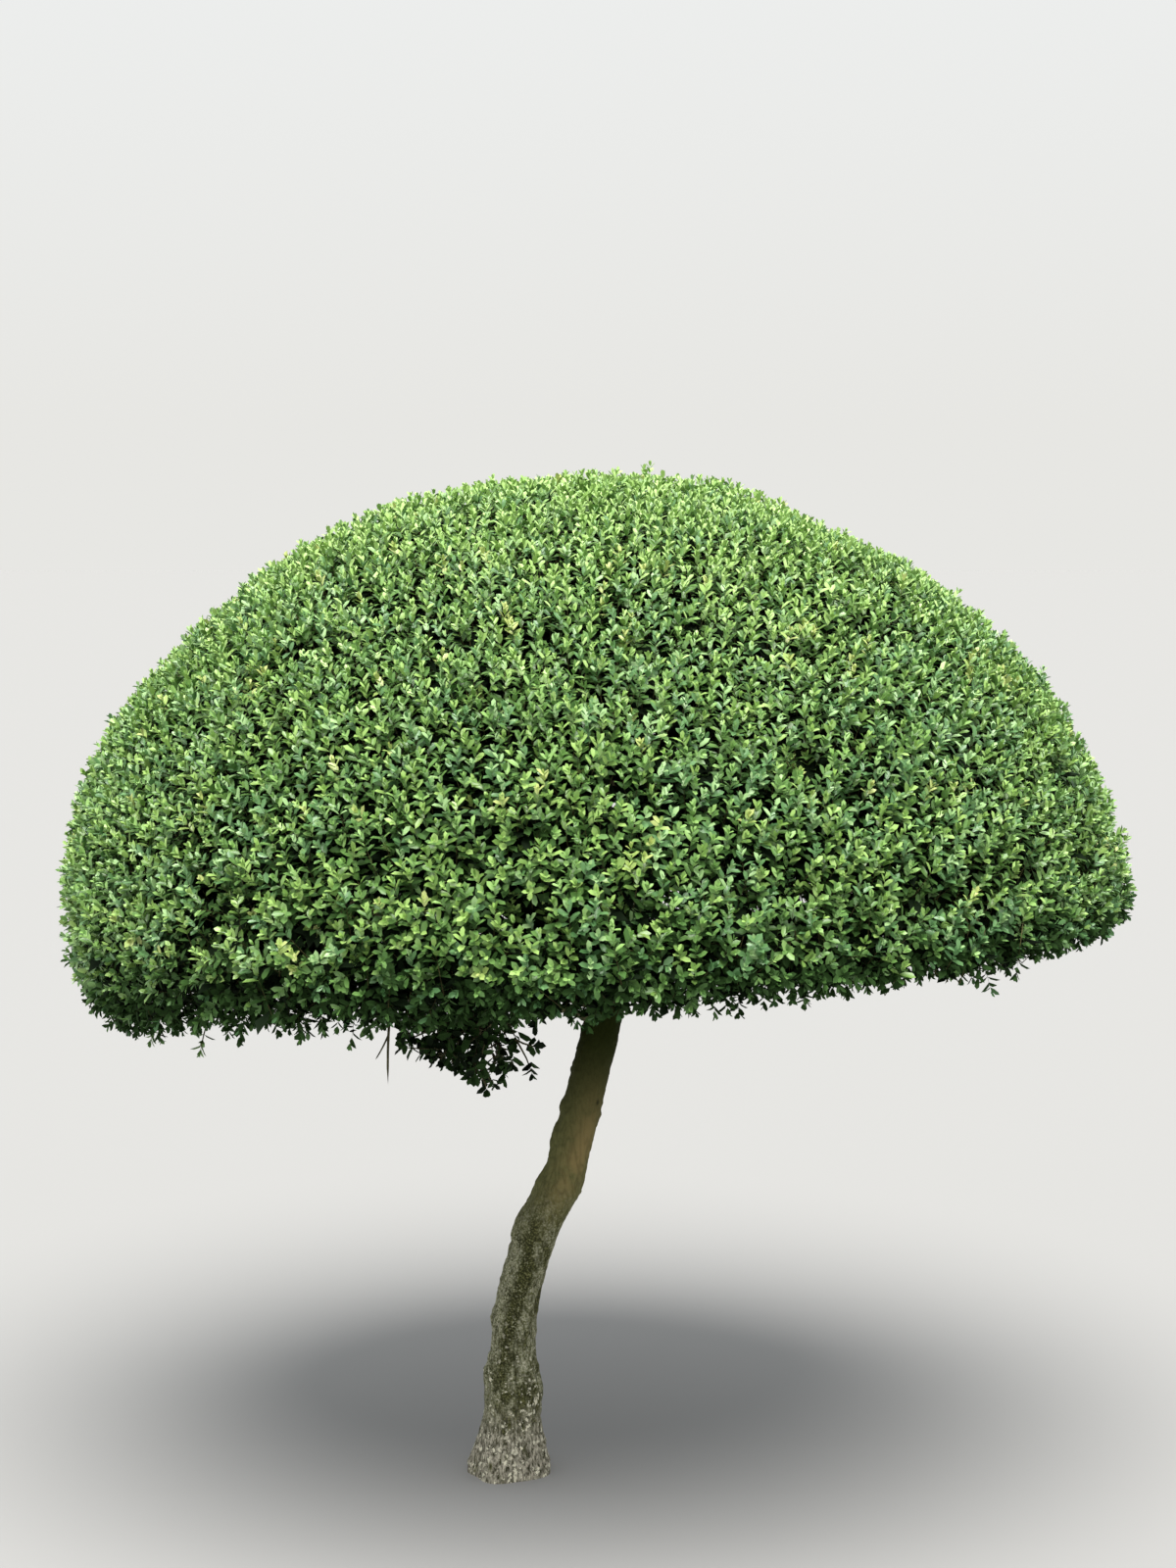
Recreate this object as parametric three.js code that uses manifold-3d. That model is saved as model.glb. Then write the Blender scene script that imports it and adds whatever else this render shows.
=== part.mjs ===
// Domed standard of a small-leaved evergreen: one bare leaning trunk under a clipped parasol crown.
// Millimetres, +Z up, +X to the right of the front view, -Y to the front. The origin is the middle of the
// flat cut at ground level.
import * as THREE from "three";
import { mergeVertices } from "three/addons/utils/BufferGeometryUtils.js";
import Module from "manifold-3d";

// Driving dimensions of the crown
const CROWN = {
  middle: new THREE.Vector2(125, 10), // plan position of the dome's axis
  halfWidth: 803,
  halfDepth: 780,
  top: 1524,
  widest: 900, // height where the dome turns down into the rim
  rim: 790, // mean height of the clipped lower edge
  rimTilt: 66, // the edge is lower on the left and higher at the right front
  rimHighSide: THREE.MathUtils.degToRad(-35),
  droop: 34, // the edge sags further where the growth on the left hangs
  droopSide: THREE.MathUtils.degToRad(193),
  droopSpread: 0.45,
  tuck: 92, // how far the lower edge draws in under the widest ring
  ceiling: 882, // height of the open underside round the fork
  hollow: 0.5, // share of the plan radius over which the underside climbs to the ceiling
  sidePower: 0.98,
  topPower: 1.12, // above 1 flattens the shoulders
};
// Uneven clipping, as waves on the distance from the crown's heart
const WAVES = [
  { out: 0.011, around: 3, upward: 2.2, phase: 0.9 },
  { out: 0.008, around: 5, upward: -3, phase: 0 },
  { out: 0.005, around: 9, upward: 5, phase: 1.3 },
  { out: 0.006, around: 1, upward: 4, phase: 1.6 },
];
// Where the clipping stands proud or is cut in: compass angle, climb from the widest ring, how far out and
// how wide, the angles in degrees
const LUMPS = [
  { turn: 180, climb: 5, out: 15, spread: 14 },
  { turn: 184, climb: -15, out: 15, spread: 9 },
  { turn: 180, climb: 35, out: -17, spread: 12 },
  { turn: 180, climb: 64, out: 11, spread: 9 },
  { turn: 0, climb: 11, out: -18, spread: 12 },
  { turn: 0, climb: 54, out: -12, spread: 11 },
  { turn: 0, climb: 71, out: 10, spread: 8 },
];
const CORE_INSET = 42; // the closed core lies this far inside the clipped outline
const CORE_CEILING_SHARE = 0.5; // share of that inset at the ceiling
const CORE_RIM_DEPTH = 8; // least height of the core under its widest ring
const CORE_SIDES = 36;
const CORE_STEPS = 20;

// Driving dimensions of the trunk
const TRUNK = {
  top: 780, // height of the fork
  topRadius: 23,
  neckRadius: 27.5,
  neck: 690,
  waistRadius: 33,
  waist: 250,
  footSwell: 8,
  footSwellHeight: 132,
  footSwellSpread: 42,
  flare: 23,
  flareHeight: 76,
  oval: 0.018, // share by which the section is oval, turning with height
  ovalTurn: 90, // height over which the oval turns by one radian
  flutes: 0.014, // share by which five shallow flutes stand out
  footSteps: 0.35, // share of the rings' spacing that is drawn down to the foot
};
// Points of the trunk's centreline, as sideways offset, depth offset and height
const TRUNK_LINE = [
  [0, 0, 0],
  [2, 0, 150],
  [5, -2, 235],
  [17, -5, 303],
  [46, -3, 391],
  [77, 3, 457],
  [99, 6, 532],
  [116, 5, 600],
  [133, 2, 671],
  [158, 0, TRUNK.top],
];
// Root spurs at the foot: compass angle in degrees, how far they stand out, half width in degrees
const ROOT_SPURS = [
  { turn: -22, out: 7, wide: 24 },
  { turn: 62, out: 9, wide: 26 },
  { turn: 128, out: 11, wide: 22 },
  { turn: 186, out: 12, wide: 22 },
  { turn: 246, out: 14, wide: 26 },
];
const SPUR_HEIGHT = 62;
// Healed pruning scars that swell the bark: compass angle, height, how far they stand out, their spread
const BURLS = [
  { turn: 184, height: 392, out: 7, spread: 24 },
  { turn: 178, height: 528, out: 4.5, spread: 17 },
  { turn: 190, height: 160, out: 5, spread: 22 },
  { turn: 352, height: 430, out: 4, spread: 34 },
  { turn: 265, height: 300, out: 3, spread: 20 },
  { turn: 20, height: 118, out: 4, spread: 26 },
  { turn: 95, height: 476, out: 4, spread: 22 },
];
const TRUNK_SIDES = 22;
const TRUNK_STEPS = 37;

// Boughs that leave the fork under the dome: compass angle, height on the trunk, radius, reach and rise
const BOUGHS = [
  { name: "bough_right", turn: 4, from: 744, radius: 12, reach: 400, rise: 175 },
  { name: "bough_back_right", turn: 78, from: 722, radius: 11.5, reach: 390, rise: 195 },
  { name: "bough_back_left", turn: 146, from: 748, radius: 12, reach: 410, rise: 170 },
  { name: "bough_left", turn: 212, from: 728, radius: 12.5, reach: 430, rise: 190 },
  { name: "bough_front", turn: 292, from: 738, radius: 12, reach: 400, rise: 180 },
];
const LEADER = { name: "leader", radius: 21, lean: new THREE.Vector3(-14, 8, 190) };
const BOUGH_TIP_SHARE = 0.62; // radius at the far end of a limb as a share of its foot
const BOUGH_COLLAR = 0.35; // share that a limb's foot swells by
const BOUGH_COLLAR_SPREAD = 0.1; // share of the limb's length that the swelling takes
const BOUGH_SAG = 0.1; // how far the middle of a bough hangs under a straight line, as a share of its reach
const BOUGH_BEND = 0.06; // how far it bows sideways, as a share of its reach
const BOUGH_SIDES = 10;
const BOUGH_STEPS = 9;
const STEM_STEPS = 3;
const TIP_CLEARANCE = 16; // a bough ends this far under the core

// Low twiggy growth that hangs in the hollow beside the trunk
const TUFT = {
  middle: new THREE.Vector3(-40, -250, 742),
  half: new THREE.Vector3(136, 105, 112),
  foot: new THREE.Vector3(8, -160, 756), // where its stem meets the low bough
  boughFrom: 694,
  boughRadius: 6.5,
  boughBend: 18,
  stemRadius: 4,
  stemBend: 50,
  branches: 10,
  firstBranch: 0.36, // share of the stem where the branches start
  branchLength: 96,
  forks: 2,
  leaves: 3,
  droop: 0.25,
};

// Leaves and twigs
const LEAF = { length: 60, width: 28, thick: 2.2, widestAt: 0.57, cup: 2 };
const SMALL_LEAF = { length: 34, width: 16, thick: 1.3, widestAt: 0.57, cup: 1.2 };
const LAST_LEAF = 0.7; // share of a twig's length where its last leaf stands
const LEAF_STEP = 0.15; // share of a twig's length between two leaves
const LEAF_TURN = THREE.MathUtils.degToRad(137); // round the twig from one leaf to the next
const LEAF_SPREAD = THREE.MathUtils.degToRad(46); // between the last leaf and its twig
const SPREAD_STEP = THREE.MathUtils.degToRad(13); // added for each leaf lower down
const SPREAD_PLAY = 0.25;
const SHORTEST_LEAF = 0.6; // a leaf clipped shorter than this share is left out
const CLIP_STEP = 0.08;
const RAGGED = 8; // leaf tips end up to this far inside or outside the clipped outline
const TWIG_RADIUS = 4.5;
const TWIG_SUNK = 14; // how far a twig's foot reaches into the core
const TWIG_SHARE = 0.9; // share of the way to the clipped outline that a twig grows
const TWIG_LEAN = 14; // how far a twig's tip leans aside
const TWIG_LIFT = 9; // how far the tips on the dome and sides turn up
const TWIG_CLEARANCE = 20; // between a twig's tip and a limb or the tuft
const TUFT_CLEARANCE = 12; // between the crown's leaves and the tuft's space
const LEAVES_A_TWIG = 3;
const SITE_SPACING = 138;
const SITE_TRIES = 9000;
const LAST_SITE = 0.83; // share of the outline, from the top to the middle of the underside, that is leafy
// Shoots that the shears missed and a dead twig on the lower edge: compass angle, share of the edge's
// radius, how far they hang, how many leaves
const HANGING = [
  { turn: 217, reach: 0.97, drop: 54, leaves: 4 },
  { turn: 242, reach: 0.84, drop: 128, leaves: 0 },
  { turn: 176, reach: 0.96, drop: 40, leaves: 3 },
  { turn: 318, reach: 0.93, drop: 38, leaves: 3 },
];

const GAP = 0.3; // clearance between two pieces that touch
const WELD = 1e-3;
const SHORTEST_EDGE = 0.03;
const UP = new THREE.Vector3(0, 0, 1);

const wasm = await Module();
wasm.setup();

// Materials
const barkColour = new THREE.Color(0.2, 0.17, 0.12);
const leafColour = new THREE.Color(0.16, 0.27, 0.08);
const bark = new THREE.MeshStandardMaterial({ color: barkColour, roughness: 0.92, metalness: 0 });
const foliage = new THREE.MeshStandardMaterial({ color: leafColour, roughness: 0.5, metalness: 0 });

// The same numbers on every run
function seededRandom(seed) {
  let state = seed;
  return () => {
    state = (state + 0x6d2b79f5) | 0;
    let t = Math.imul(state ^ (state >>> 15), 1 | state);
    t = (t + Math.imul(t ^ (t >>> 7), 61 | t)) ^ t;
    return ((t ^ (t >>> 14)) >>> 0) / 4294967296;
  };
}

function bell(distance, spread) {
  return Math.exp(-((distance / spread) ** 2));
}

function angleBetween(a, b) {
  return Math.atan2(Math.sin(a - b), Math.cos(a - b));
}

// Closed three.js geometry to a solid
function solidFrom(geometry) {
  const bare = new THREE.BufferGeometry().setAttribute("position", geometry.getAttribute("position"));
  if (geometry.index) bare.setIndex(geometry.index);
  const merged = mergeVertices(bare, WELD);
  const mesh = new wasm.Mesh({
    numProp: 3,
    vertProperties: merged.attributes.position.array,
    triVerts: new Uint32Array(merged.index.array),
  });
  return new wasm.Manifold(mesh);
}

// The one body of a solid, without loose scraps and sealed hollows
function oneBody(solid) {
  const bodies = solid.decompose();
  return bodies.reduce((a, b) => (a.volume() > b.volume() ? a : b));
}

function meshFrom(name, solid, material) {
  const made = oneBody(oneBody(solid).simplify(SHORTEST_EDGE)).getMesh();
  const position = new Float32Array(made.numVert * 3);
  for (let i = 0; i < made.numVert; i++) {
    position.set(made.vertProperties.subarray(i * made.numProp, i * made.numProp + 3), i * 3);
  }
  const geometry = new THREE.BufferGeometry();
  geometry.setAttribute("position", new THREE.BufferAttribute(position, 3));
  geometry.setIndex(new THREE.BufferAttribute(new Uint32Array(made.triVerts), 1));
  geometry.computeVertexNormals();
  const mesh = new THREE.Mesh(geometry, material);
  mesh.name = name;
  return mesh;
}

function tube(sides, steps) {
  return new THREE.CylinderGeometry(1, 1, 1, sides, steps);
}

// Moves every vertex of a geometry to where a function of its old place says
function reshape(geometry, placeOf) {
  const position = geometry.getAttribute("position");
  const from = new THREE.Vector3();
  for (let i = 0; i < position.count; i++) {
    const to = placeOf(from.fromBufferAttribute(position, i));
    position.setXYZ(i, to.x, to.y, to.z);
  }
  return geometry;
}

// Trunk
const trunkPoints = TRUNK_LINE.map((place) => new THREE.Vector3(...place));
const trunkLine = new THREE.CatmullRomCurve3(trunkPoints, false, "centripetal");

// The centreline's point and direction at a height
function trunkAt(height) {
  let low = 0;
  let high = 1;
  for (let i = 0; i < 40; i++) {
    const middle = (low + high) / 2;
    if (trunkLine.getPoint(middle).z < height) low = middle;
    else high = middle;
  }
  const point = trunkLine.getPoint(low);
  point.z = height;
  return { point, tangent: trunkLine.getTangent(low) };
}

function trunkGirth(height) {
  const { waist, neck, top } = TRUNK;
  const lower = THREE.MathUtils.clamp((height - waist) / (neck - waist), 0, 1);
  const upper = THREE.MathUtils.clamp((height - neck) / (top - neck), 0, 1);
  const straight = THREE.MathUtils.lerp(TRUNK.waistRadius, TRUNK.neckRadius, lower);
  const tapered = THREE.MathUtils.lerp(straight, TRUNK.topRadius, upper ** 2);
  const swell = TRUNK.footSwell * bell(height - TRUNK.footSwellHeight, TRUNK.footSwellSpread);
  return tapered + swell + TRUNK.flare * bell(height, TRUNK.flareHeight);
}

function trunkRadius(height, angle) {
  const oval = TRUNK.oval * Math.sin(2 * angle + height / TRUNK.ovalTurn);
  let radius = trunkGirth(height) * (1 + oval + TRUNK.flutes * Math.sin(5 * angle));
  for (const spur of ROOT_SPURS) {
    const away = THREE.MathUtils.radToDeg(angleBetween(angle, THREE.MathUtils.degToRad(spur.turn)));
    radius += spur.out * bell(away, spur.wide) * bell(height, SPUR_HEIGHT);
  }
  for (const burl of BURLS) {
    const around = angleBetween(angle, THREE.MathUtils.degToRad(burl.turn)) * trunkGirth(height);
    radius += burl.out * bell(Math.hypot(around, height - burl.height), burl.spread);
  }
  return radius;
}

// Rings stay level, so that the foot is a flat cut, and are stretched along the lean
function trunkSolid(extra) {
  const placed = reshape(tube(TRUNK_SIDES, TRUNK_STEPS), (v) => {
    const share = v.y + 0.5;
    const height = TRUNK.top * THREE.MathUtils.lerp(share, share ** 2, TRUNK.footSteps);
    const { point, tangent } = trunkAt(height);
    const radial = Math.hypot(v.x, v.z);
    const angle = Math.atan2(-v.z, v.x);
    const radius = radial * (trunkRadius(height, angle) + extra);
    return new THREE.Vector3(
      point.x + (radius * Math.cos(angle)) / tangent.z,
      point.y + radius * Math.sin(angle),
      height,
    );
  });
  return solidFrom(placed);
}

// Crown outline
function rimHeight(turn) {
  const sag = CROWN.droop * bell(angleBetween(turn, CROWN.droopSide), CROWN.droopSpread);
  return CROWN.rim + CROWN.rimTilt * Math.cos(turn - CROWN.rimHighSide) - sag;
}

function bearingOf(turn, climb) {
  const flat = Math.cos(climb);
  return new THREE.Vector3(flat * Math.cos(turn), flat * Math.sin(turn), Math.sin(climb));
}

const lumps = LUMPS.map(({ turn, climb, out, spread }) => ({
  bearing: bearingOf(THREE.MathUtils.degToRad(turn), THREE.MathUtils.degToRad(climb)),
  share: out / CROWN.halfWidth,
  spread: THREE.MathUtils.degToRad(spread),
}));

// Waves and lumps of the clipping, as a factor on the distance from the crown's heart
function wave(turn, climb) {
  const here = bearingOf(turn, climb);
  let grown = 1;
  for (const { out, around, upward, phase } of WAVES) {
    grown += out * Math.cos(climb) * Math.sin(around * turn + upward * climb + phase);
  }
  for (const { bearing, share, spread } of lumps) grown += share * bell(here.angleTo(bearing), spread);
  return grown;
}

const heart = new THREE.Vector3(CROWN.middle.x, CROWN.middle.y, CROWN.widest);

// Plain profile of the dome, rim and underside at a share from the top to the middle of the underside
function profile(share, turn, inset) {
  const side = 1 - inset / CROWN.halfWidth;
  const top = CROWN.top - inset;
  const edge = Math.min(rimHeight(turn) + inset, CROWN.widest - CORE_RIM_DEPTH);
  const ceiling = CROWN.ceiling + inset * CORE_CEILING_SHARE;
  const tuck = CROWN.tuck / CROWN.halfWidth;
  if (share < 0.5) {
    const a = share * Math.PI;
    const height = CROWN.widest + (top - CROWN.widest) * Math.max(Math.cos(a), 0) ** CROWN.topPower;
    return { out: side * Math.sin(a) ** CROWN.sidePower, height };
  }
  if (share < 0.75) {
    const a = (share - 0.5) * 2 * Math.PI;
    const height = CROWN.widest - (CROWN.widest - edge) * Math.sin(a);
    return { out: side - tuck * (1 - Math.cos(a)), height };
  }
  const inward = (share - 0.75) * 4;
  const climb = Math.sin((Math.PI / 2) * Math.min(1, inward / CROWN.hollow));
  return { out: (side - tuck) * (1 - inward), height: edge + (ceiling - edge) * climb };
}

// A point of the crown's outline, or of the core that lies inset from it
function crownPoint(share, turn, inset = 0) {
  const { out, height } = profile(share, turn, inset);
  const x = CROWN.halfWidth * out * Math.cos(turn);
  const y = CROWN.halfDepth * out * Math.sin(turn);
  const climb = Math.atan2(height - CROWN.widest, Math.hypot(x, y));
  const grown = share < 0.75 ? wave(turn, climb) : 1 + (wave(turn, climb) - 1) * out;
  return new THREE.Vector3(x, y, height - CROWN.widest).multiplyScalar(grown).add(heart);
}

function crownNormal(share, turn) {
  const step = 0.01;
  const along = crownPoint(share + step, turn).sub(crownPoint(share - step, turn));
  const around = crownPoint(share, turn + step).sub(crownPoint(share, turn - step));
  return around.cross(along).normalize().negate();
}

// How far a point lies inside the outline, along the line from the heart: above 0 is inside
function depthInside(point) {
  const away = point.clone().sub(heart);
  const turn = Math.atan2(away.y / CROWN.halfDepth, away.x / CROWN.halfWidth);
  const climb = Math.atan2(away.z, Math.hypot(away.x, away.y));
  away.divideScalar(wave(turn, climb));
  const out = Math.hypot(away.x / CROWN.halfWidth, away.y / CROWN.halfDepth);
  if (away.z >= 0) {
    const sine = Math.min(1, out) ** (1 / CROWN.sidePower);
    const roof = (CROWN.top - CROWN.widest) * Math.sqrt(1 - sine ** 2) ** CROWN.topPower;
    return out >= 1 ? (1 - out) * CROWN.halfWidth : roof - away.z;
  }
  const edge = rimHeight(turn) - CROWN.widest;
  const low = Math.min(1, away.z / edge);
  const wall = 1 - (CROWN.tuck / CROWN.halfWidth) * (1 - Math.sqrt(1 - low ** 2));
  return Math.min((wall - out) * CROWN.halfWidth, away.z - edge);
}

function coreSolid() {
  const placed = reshape(new THREE.SphereGeometry(1, CORE_SIDES, CORE_STEPS), (v) => {
    const share = Math.acos(THREE.MathUtils.clamp(v.y, -1, 1)) / Math.PI;
    const turn = Math.atan2(-v.z, v.x);
    return crownPoint(share, turn, CORE_INSET);
  });
  return solidFrom(placed);
}

// Height of the core's underside over a place
function coreFloor(point) {
  const away = point.clone().sub(heart);
  const out = Math.hypot(away.x / CROWN.halfWidth, away.y / CROWN.halfDepth);
  const turn = Math.atan2(away.y, away.x);
  const side = 1 - (CORE_INSET + CROWN.tuck) / CROWN.halfWidth;
  const inward = THREE.MathUtils.clamp(1 - out / side, 0, 1);
  return profile(0.75 + inward / 4, turn, CORE_INSET).height;
}

// Limbs
function boughLine({ turn, from, reach, rise }) {
  const start = trunkAt(from).point;
  const angle = THREE.MathUtils.degToRad(turn);
  const away = new THREE.Vector3(Math.cos(angle), Math.sin(angle), 0);
  const aside = new THREE.Vector3(-away.y, away.x, 0);
  const end = start.clone().addScaledVector(away, reach).addScaledVector(UP, rise);
  const middle = start.clone().lerp(end, 0.5).addScaledVector(UP, -BOUGH_SAG * reach);
  middle.addScaledVector(aside, BOUGH_BEND * reach * Math.sin(3 * angle + 1));
  return new THREE.QuadraticBezierCurve3(start, middle, end);
}

// A tube or spike of unit radius and height, laid along part of a curve with its ends square to it
function limbSolid(shape, curve, from, to, radiusAt) {
  const placed = reshape(shape, (v) => {
    const share = THREE.MathUtils.lerp(from, to, v.y + 0.5);
    const tangent = curve.getTangent(share);
    const reference = Math.abs(tangent.z) > 0.9 ? new THREE.Vector3(1, 0, 0) : UP;
    const across = new THREE.Vector3().crossVectors(reference, tangent).normalize();
    const down = new THREE.Vector3().crossVectors(across, tangent);
    const radius = radiusAt(share);
    return curve.getPoint(share).addScaledVector(across, radius * v.x).addScaledVector(down, radius * v.z);
  });
  return solidFrom(placed);
}

function taper(radius, share) {
  const collar = BOUGH_COLLAR * bell(share, BOUGH_COLLAR_SPREAD);
  return radius * (THREE.MathUtils.lerp(1, BOUGH_TIP_SHARE, share) + collar);
}

// Where along a limb its tip stops, a little under the core
function seatShare(curve, radius) {
  let share = 0;
  while (share < 0.96) {
    const point = curve.getPoint(share);
    if (point.z > coreFloor(point) - TIP_CLEARANCE - radius / 2) break;
    share += 0.01;
  }
  return share;
}

// A direction tipped away from another by an angle, towards a bearing round it
function tipped(direction, angle, bearing) {
  const reference = Math.abs(direction.z) > 0.9 ? new THREE.Vector3(1, 0, 0) : UP;
  const side = new THREE.Vector3().crossVectors(reference, direction).normalize();
  const other = new THREE.Vector3().crossVectors(direction, side);
  const outward = side.multiplyScalar(Math.cos(bearing)).addScaledVector(other, Math.sin(bearing));
  return direction.clone().multiplyScalar(Math.cos(angle)).addScaledVector(outward, Math.sin(angle));
}

// A thin pointed blade of eight faces, folded a little along its midrib
function leafSolid(foot, along, face, size, share) {
  const across = new THREE.Vector3().crossVectors(along, face).normalize();
  const above = new THREE.Vector3().crossVectors(across, along);
  const placed = reshape(new THREE.OctahedronGeometry(1), (v) => {
    const reach = v.x > 0.5 ? 1 : v.x < -0.5 ? 0 : size.widestAt;
    return foot
      .clone()
      .addScaledVector(along, reach * share * size.length)
      .addScaledVector(above, (v.y * size.thick) / 2 + Math.abs(v.z) * size.cup)
      .addScaledVector(across, (v.z * size.width) / 2);
  });
  return solidFrom(placed);
}

// A three-sided twig that runs to a point, with its leaves set round it from the tip down. A leaf is
// clipped back until it fits the space that its mass may fill
function shootSolids(foot, tip, radius, leaves, size, fits, random) {
  const line = new THREE.LineCurve3(foot, tip);
  const made = [limbSolid(new THREE.ConeGeometry(1, 1, 3), line, 0, 1, () => radius)];
  const way = line.getTangent(0);
  const firstBearing = random() * 2 * Math.PI;
  for (let i = 0; i < leaves; i++) {
    const start = line.getPoint(LAST_LEAF - i * LEAF_STEP);
    const spread = LEAF_SPREAD + i * SPREAD_STEP + SPREAD_PLAY * (random() - 0.5);
    const along = tipped(way, spread, firstBearing + i * LEAF_TURN);
    let share = 1;
    while (share >= SHORTEST_LEAF && !fits(start, along, size, share)) share -= CLIP_STEP;
    if (share >= SHORTEST_LEAF) made.push(leafSolid(start, along, way, size, share));
  }
  return made;
}

// Well-spread places on the leafy part of the crown's outline
function crownSites(random) {
  const sites = [];
  for (let i = 0; i < SITE_TRIES; i++) {
    const share = random() * LAST_SITE;
    const turn = random() * 2 * Math.PI;
    if (share < 0.5 && random() > Math.sin(share * Math.PI)) continue;
    const point = crownPoint(share, turn);
    const apart = sites.every((site) => site.point.distanceTo(point) > SITE_SPACING);
    if (apart) sites.push({ share, turn, point });
  }
  return sites;
}

const group = new THREE.Group();
const limbs = []; // centrelines and radii that leaves keep clear of
const stems = []; // the ends of the boughs, inside the crown
const grownTrunk = trunkSolid(GAP);
const random = seededRandom(20417);

function clearOfLimbs(point, margin) {
  return limbs.every(({ points, radius }) => points.every((on) => on.distanceTo(point) > radius + margin));
}

function insideTuft(point, grow) {
  const { middle, half } = TUFT;
  const away = point.clone().sub(middle);
  return Math.hypot(away.x / (half.x + grow), away.y / (half.y + grow), away.z / (half.z + grow)) < 1;
}

// Each bough ends under the core, and the stem of the crown carries on from its tip
function addBoughs() {
  for (const bough of BOUGHS) {
    const curve = boughLine(bough);
    const seat = seatShare(curve, bough.radius);
    const stemFrom = seat + GAP / curve.getLength();
    const radiusAt = (share) => taper(bough.radius, share);
    const limb = limbSolid(tube(BOUGH_SIDES, BOUGH_STEPS), curve, 0, seat, radiusAt);
    group.add(meshFrom(bough.name, limb.subtract(grownTrunk), bark));
    stems.push(limbSolid(tube(BOUGH_SIDES, STEM_STEPS), curve, stemFrom, 1, radiusAt));
    limbs.push({ points: curve.getPoints(24), radius: bough.radius });
  }
}

// The trunk's own continuation, cut level where it stands on the fork
function addLeader() {
  const foot = trunkAt(TRUNK.top).point.addScaledVector(UP, GAP);
  const line = new THREE.LineCurve3(foot, foot.clone().add(LEADER.lean));
  const seat = seatShare(line, LEADER.radius);
  const stemFrom = seat + GAP / line.getLength();
  const radiusAt = (share) => LEADER.radius * THREE.MathUtils.lerp(1, BOUGH_TIP_SHARE, share);
  const limb = limbSolid(tube(BOUGH_SIDES, BOUGH_STEPS), line, -0.2, seat, radiusAt);
  group.add(meshFrom(LEADER.name, limb.trimByPlane([0, 0, 1], foot.z), bark));
  stems.push(limbSolid(tube(BOUGH_SIDES, STEM_STEPS), line, stemFrom, 1, radiusAt));
  limbs.push({ points: line.getPoints(12), radius: LEADER.radius });
}

// The thin bough that carries the tuft; gives the direction of its tip
function addLowBough() {
  const start = trunkAt(TUFT.boughFrom).point;
  const bend = start.clone().lerp(TUFT.foot, 0.5).addScaledVector(UP, TUFT.boughBend);
  const curve = new THREE.QuadraticBezierCurve3(start, bend, TUFT.foot);
  const radiusAt = (share) => THREE.MathUtils.lerp(TUFT.boughRadius, TUFT.stemRadius, share);
  const limb = limbSolid(tube(BOUGH_SIDES - 2, BOUGH_STEPS), curve, 0, 1, radiusAt);
  group.add(meshFrom("low_bough", limb.subtract(grownTrunk), bark));
  limbs.push({ points: curve.getPoints(16), radius: TUFT.boughRadius });
  return curve.getTangent(1);
}

// Crown: a closed core, the stems that carry it, and leafy twigs that stand out of it
function crownLeafFits(foot, along, size, share) {
  const tip = foot.clone().addScaledVector(along, size.length * share);
  const middle = foot.clone().lerp(tip, size.widestAt);
  const ragged = RAGGED * Math.sin(tip.x / 7 + tip.y / 11 + tip.z / 5);
  if (depthInside(tip) < ragged) return false;
  if (insideTuft(tip, TUFT_CLEARANCE) || insideTuft(middle, TUFT_CLEARANCE)) return false;
  return clearOfLimbs(tip, size.width / 2) && clearOfLimbs(middle, size.width);
}

function crownShoot({ share, turn, point }) {
  const normal = crownNormal(share, turn);
  const foot = crownPoint(share, turn, CORE_INSET).addScaledVector(normal, -TWIG_SUNK);
  const lean = tipped(normal, Math.PI / 2, random() * 2 * Math.PI);
  const tip = foot.clone().lerp(point, TWIG_SHARE).addScaledVector(lean, TWIG_LEAN);
  if (share < 0.6) tip.addScaledVector(UP, TWIG_LIFT);
  if (!clearOfLimbs(tip, TWIG_CLEARANCE) || insideTuft(tip, TWIG_CLEARANCE)) return [];
  return shootSolids(foot, tip, TWIG_RADIUS, LEAVES_A_TWIG, LEAF, crownLeafFits, random);
}

function hangingShoot({ turn, reach, drop, leaves }) {
  const bearing = THREE.MathUtils.degToRad(turn);
  const share = 0.75 + (1 - reach) / 4;
  const edge = crownPoint(share, bearing);
  const foot = crownPoint(share, bearing, CORE_INSET).addScaledVector(UP, TWIG_SUNK);
  const tip = edge.clone().addScaledVector(UP, -drop * (leaves ? 0.7 : 1));
  const hangs = (start, along, size, part) => start.z + along.z * size.length * part > edge.z - drop;
  return shootSolids(foot, tip, TWIG_RADIUS * 0.8, leaves, SMALL_LEAF, hangs, random);
}

function addCrown() {
  const pieces = [coreSolid(), ...stems];
  for (const site of crownSites(random)) pieces.push(...crownShoot(site));
  for (const shoot of HANGING) pieces.push(...hangingShoot(shoot));
  group.add(meshFrom("crown", wasm.Manifold.union(pieces), foliage));
}

// Tuft: an open mass whose twigs fork off one stem, with no core
function tuftLeafFits(foot, along, size, share) {
  const tip = foot.clone().addScaledVector(along, size.length * share);
  return insideTuft(tip, 0) && clearOfLimbs(tip, size.width / 2);
}

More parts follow.
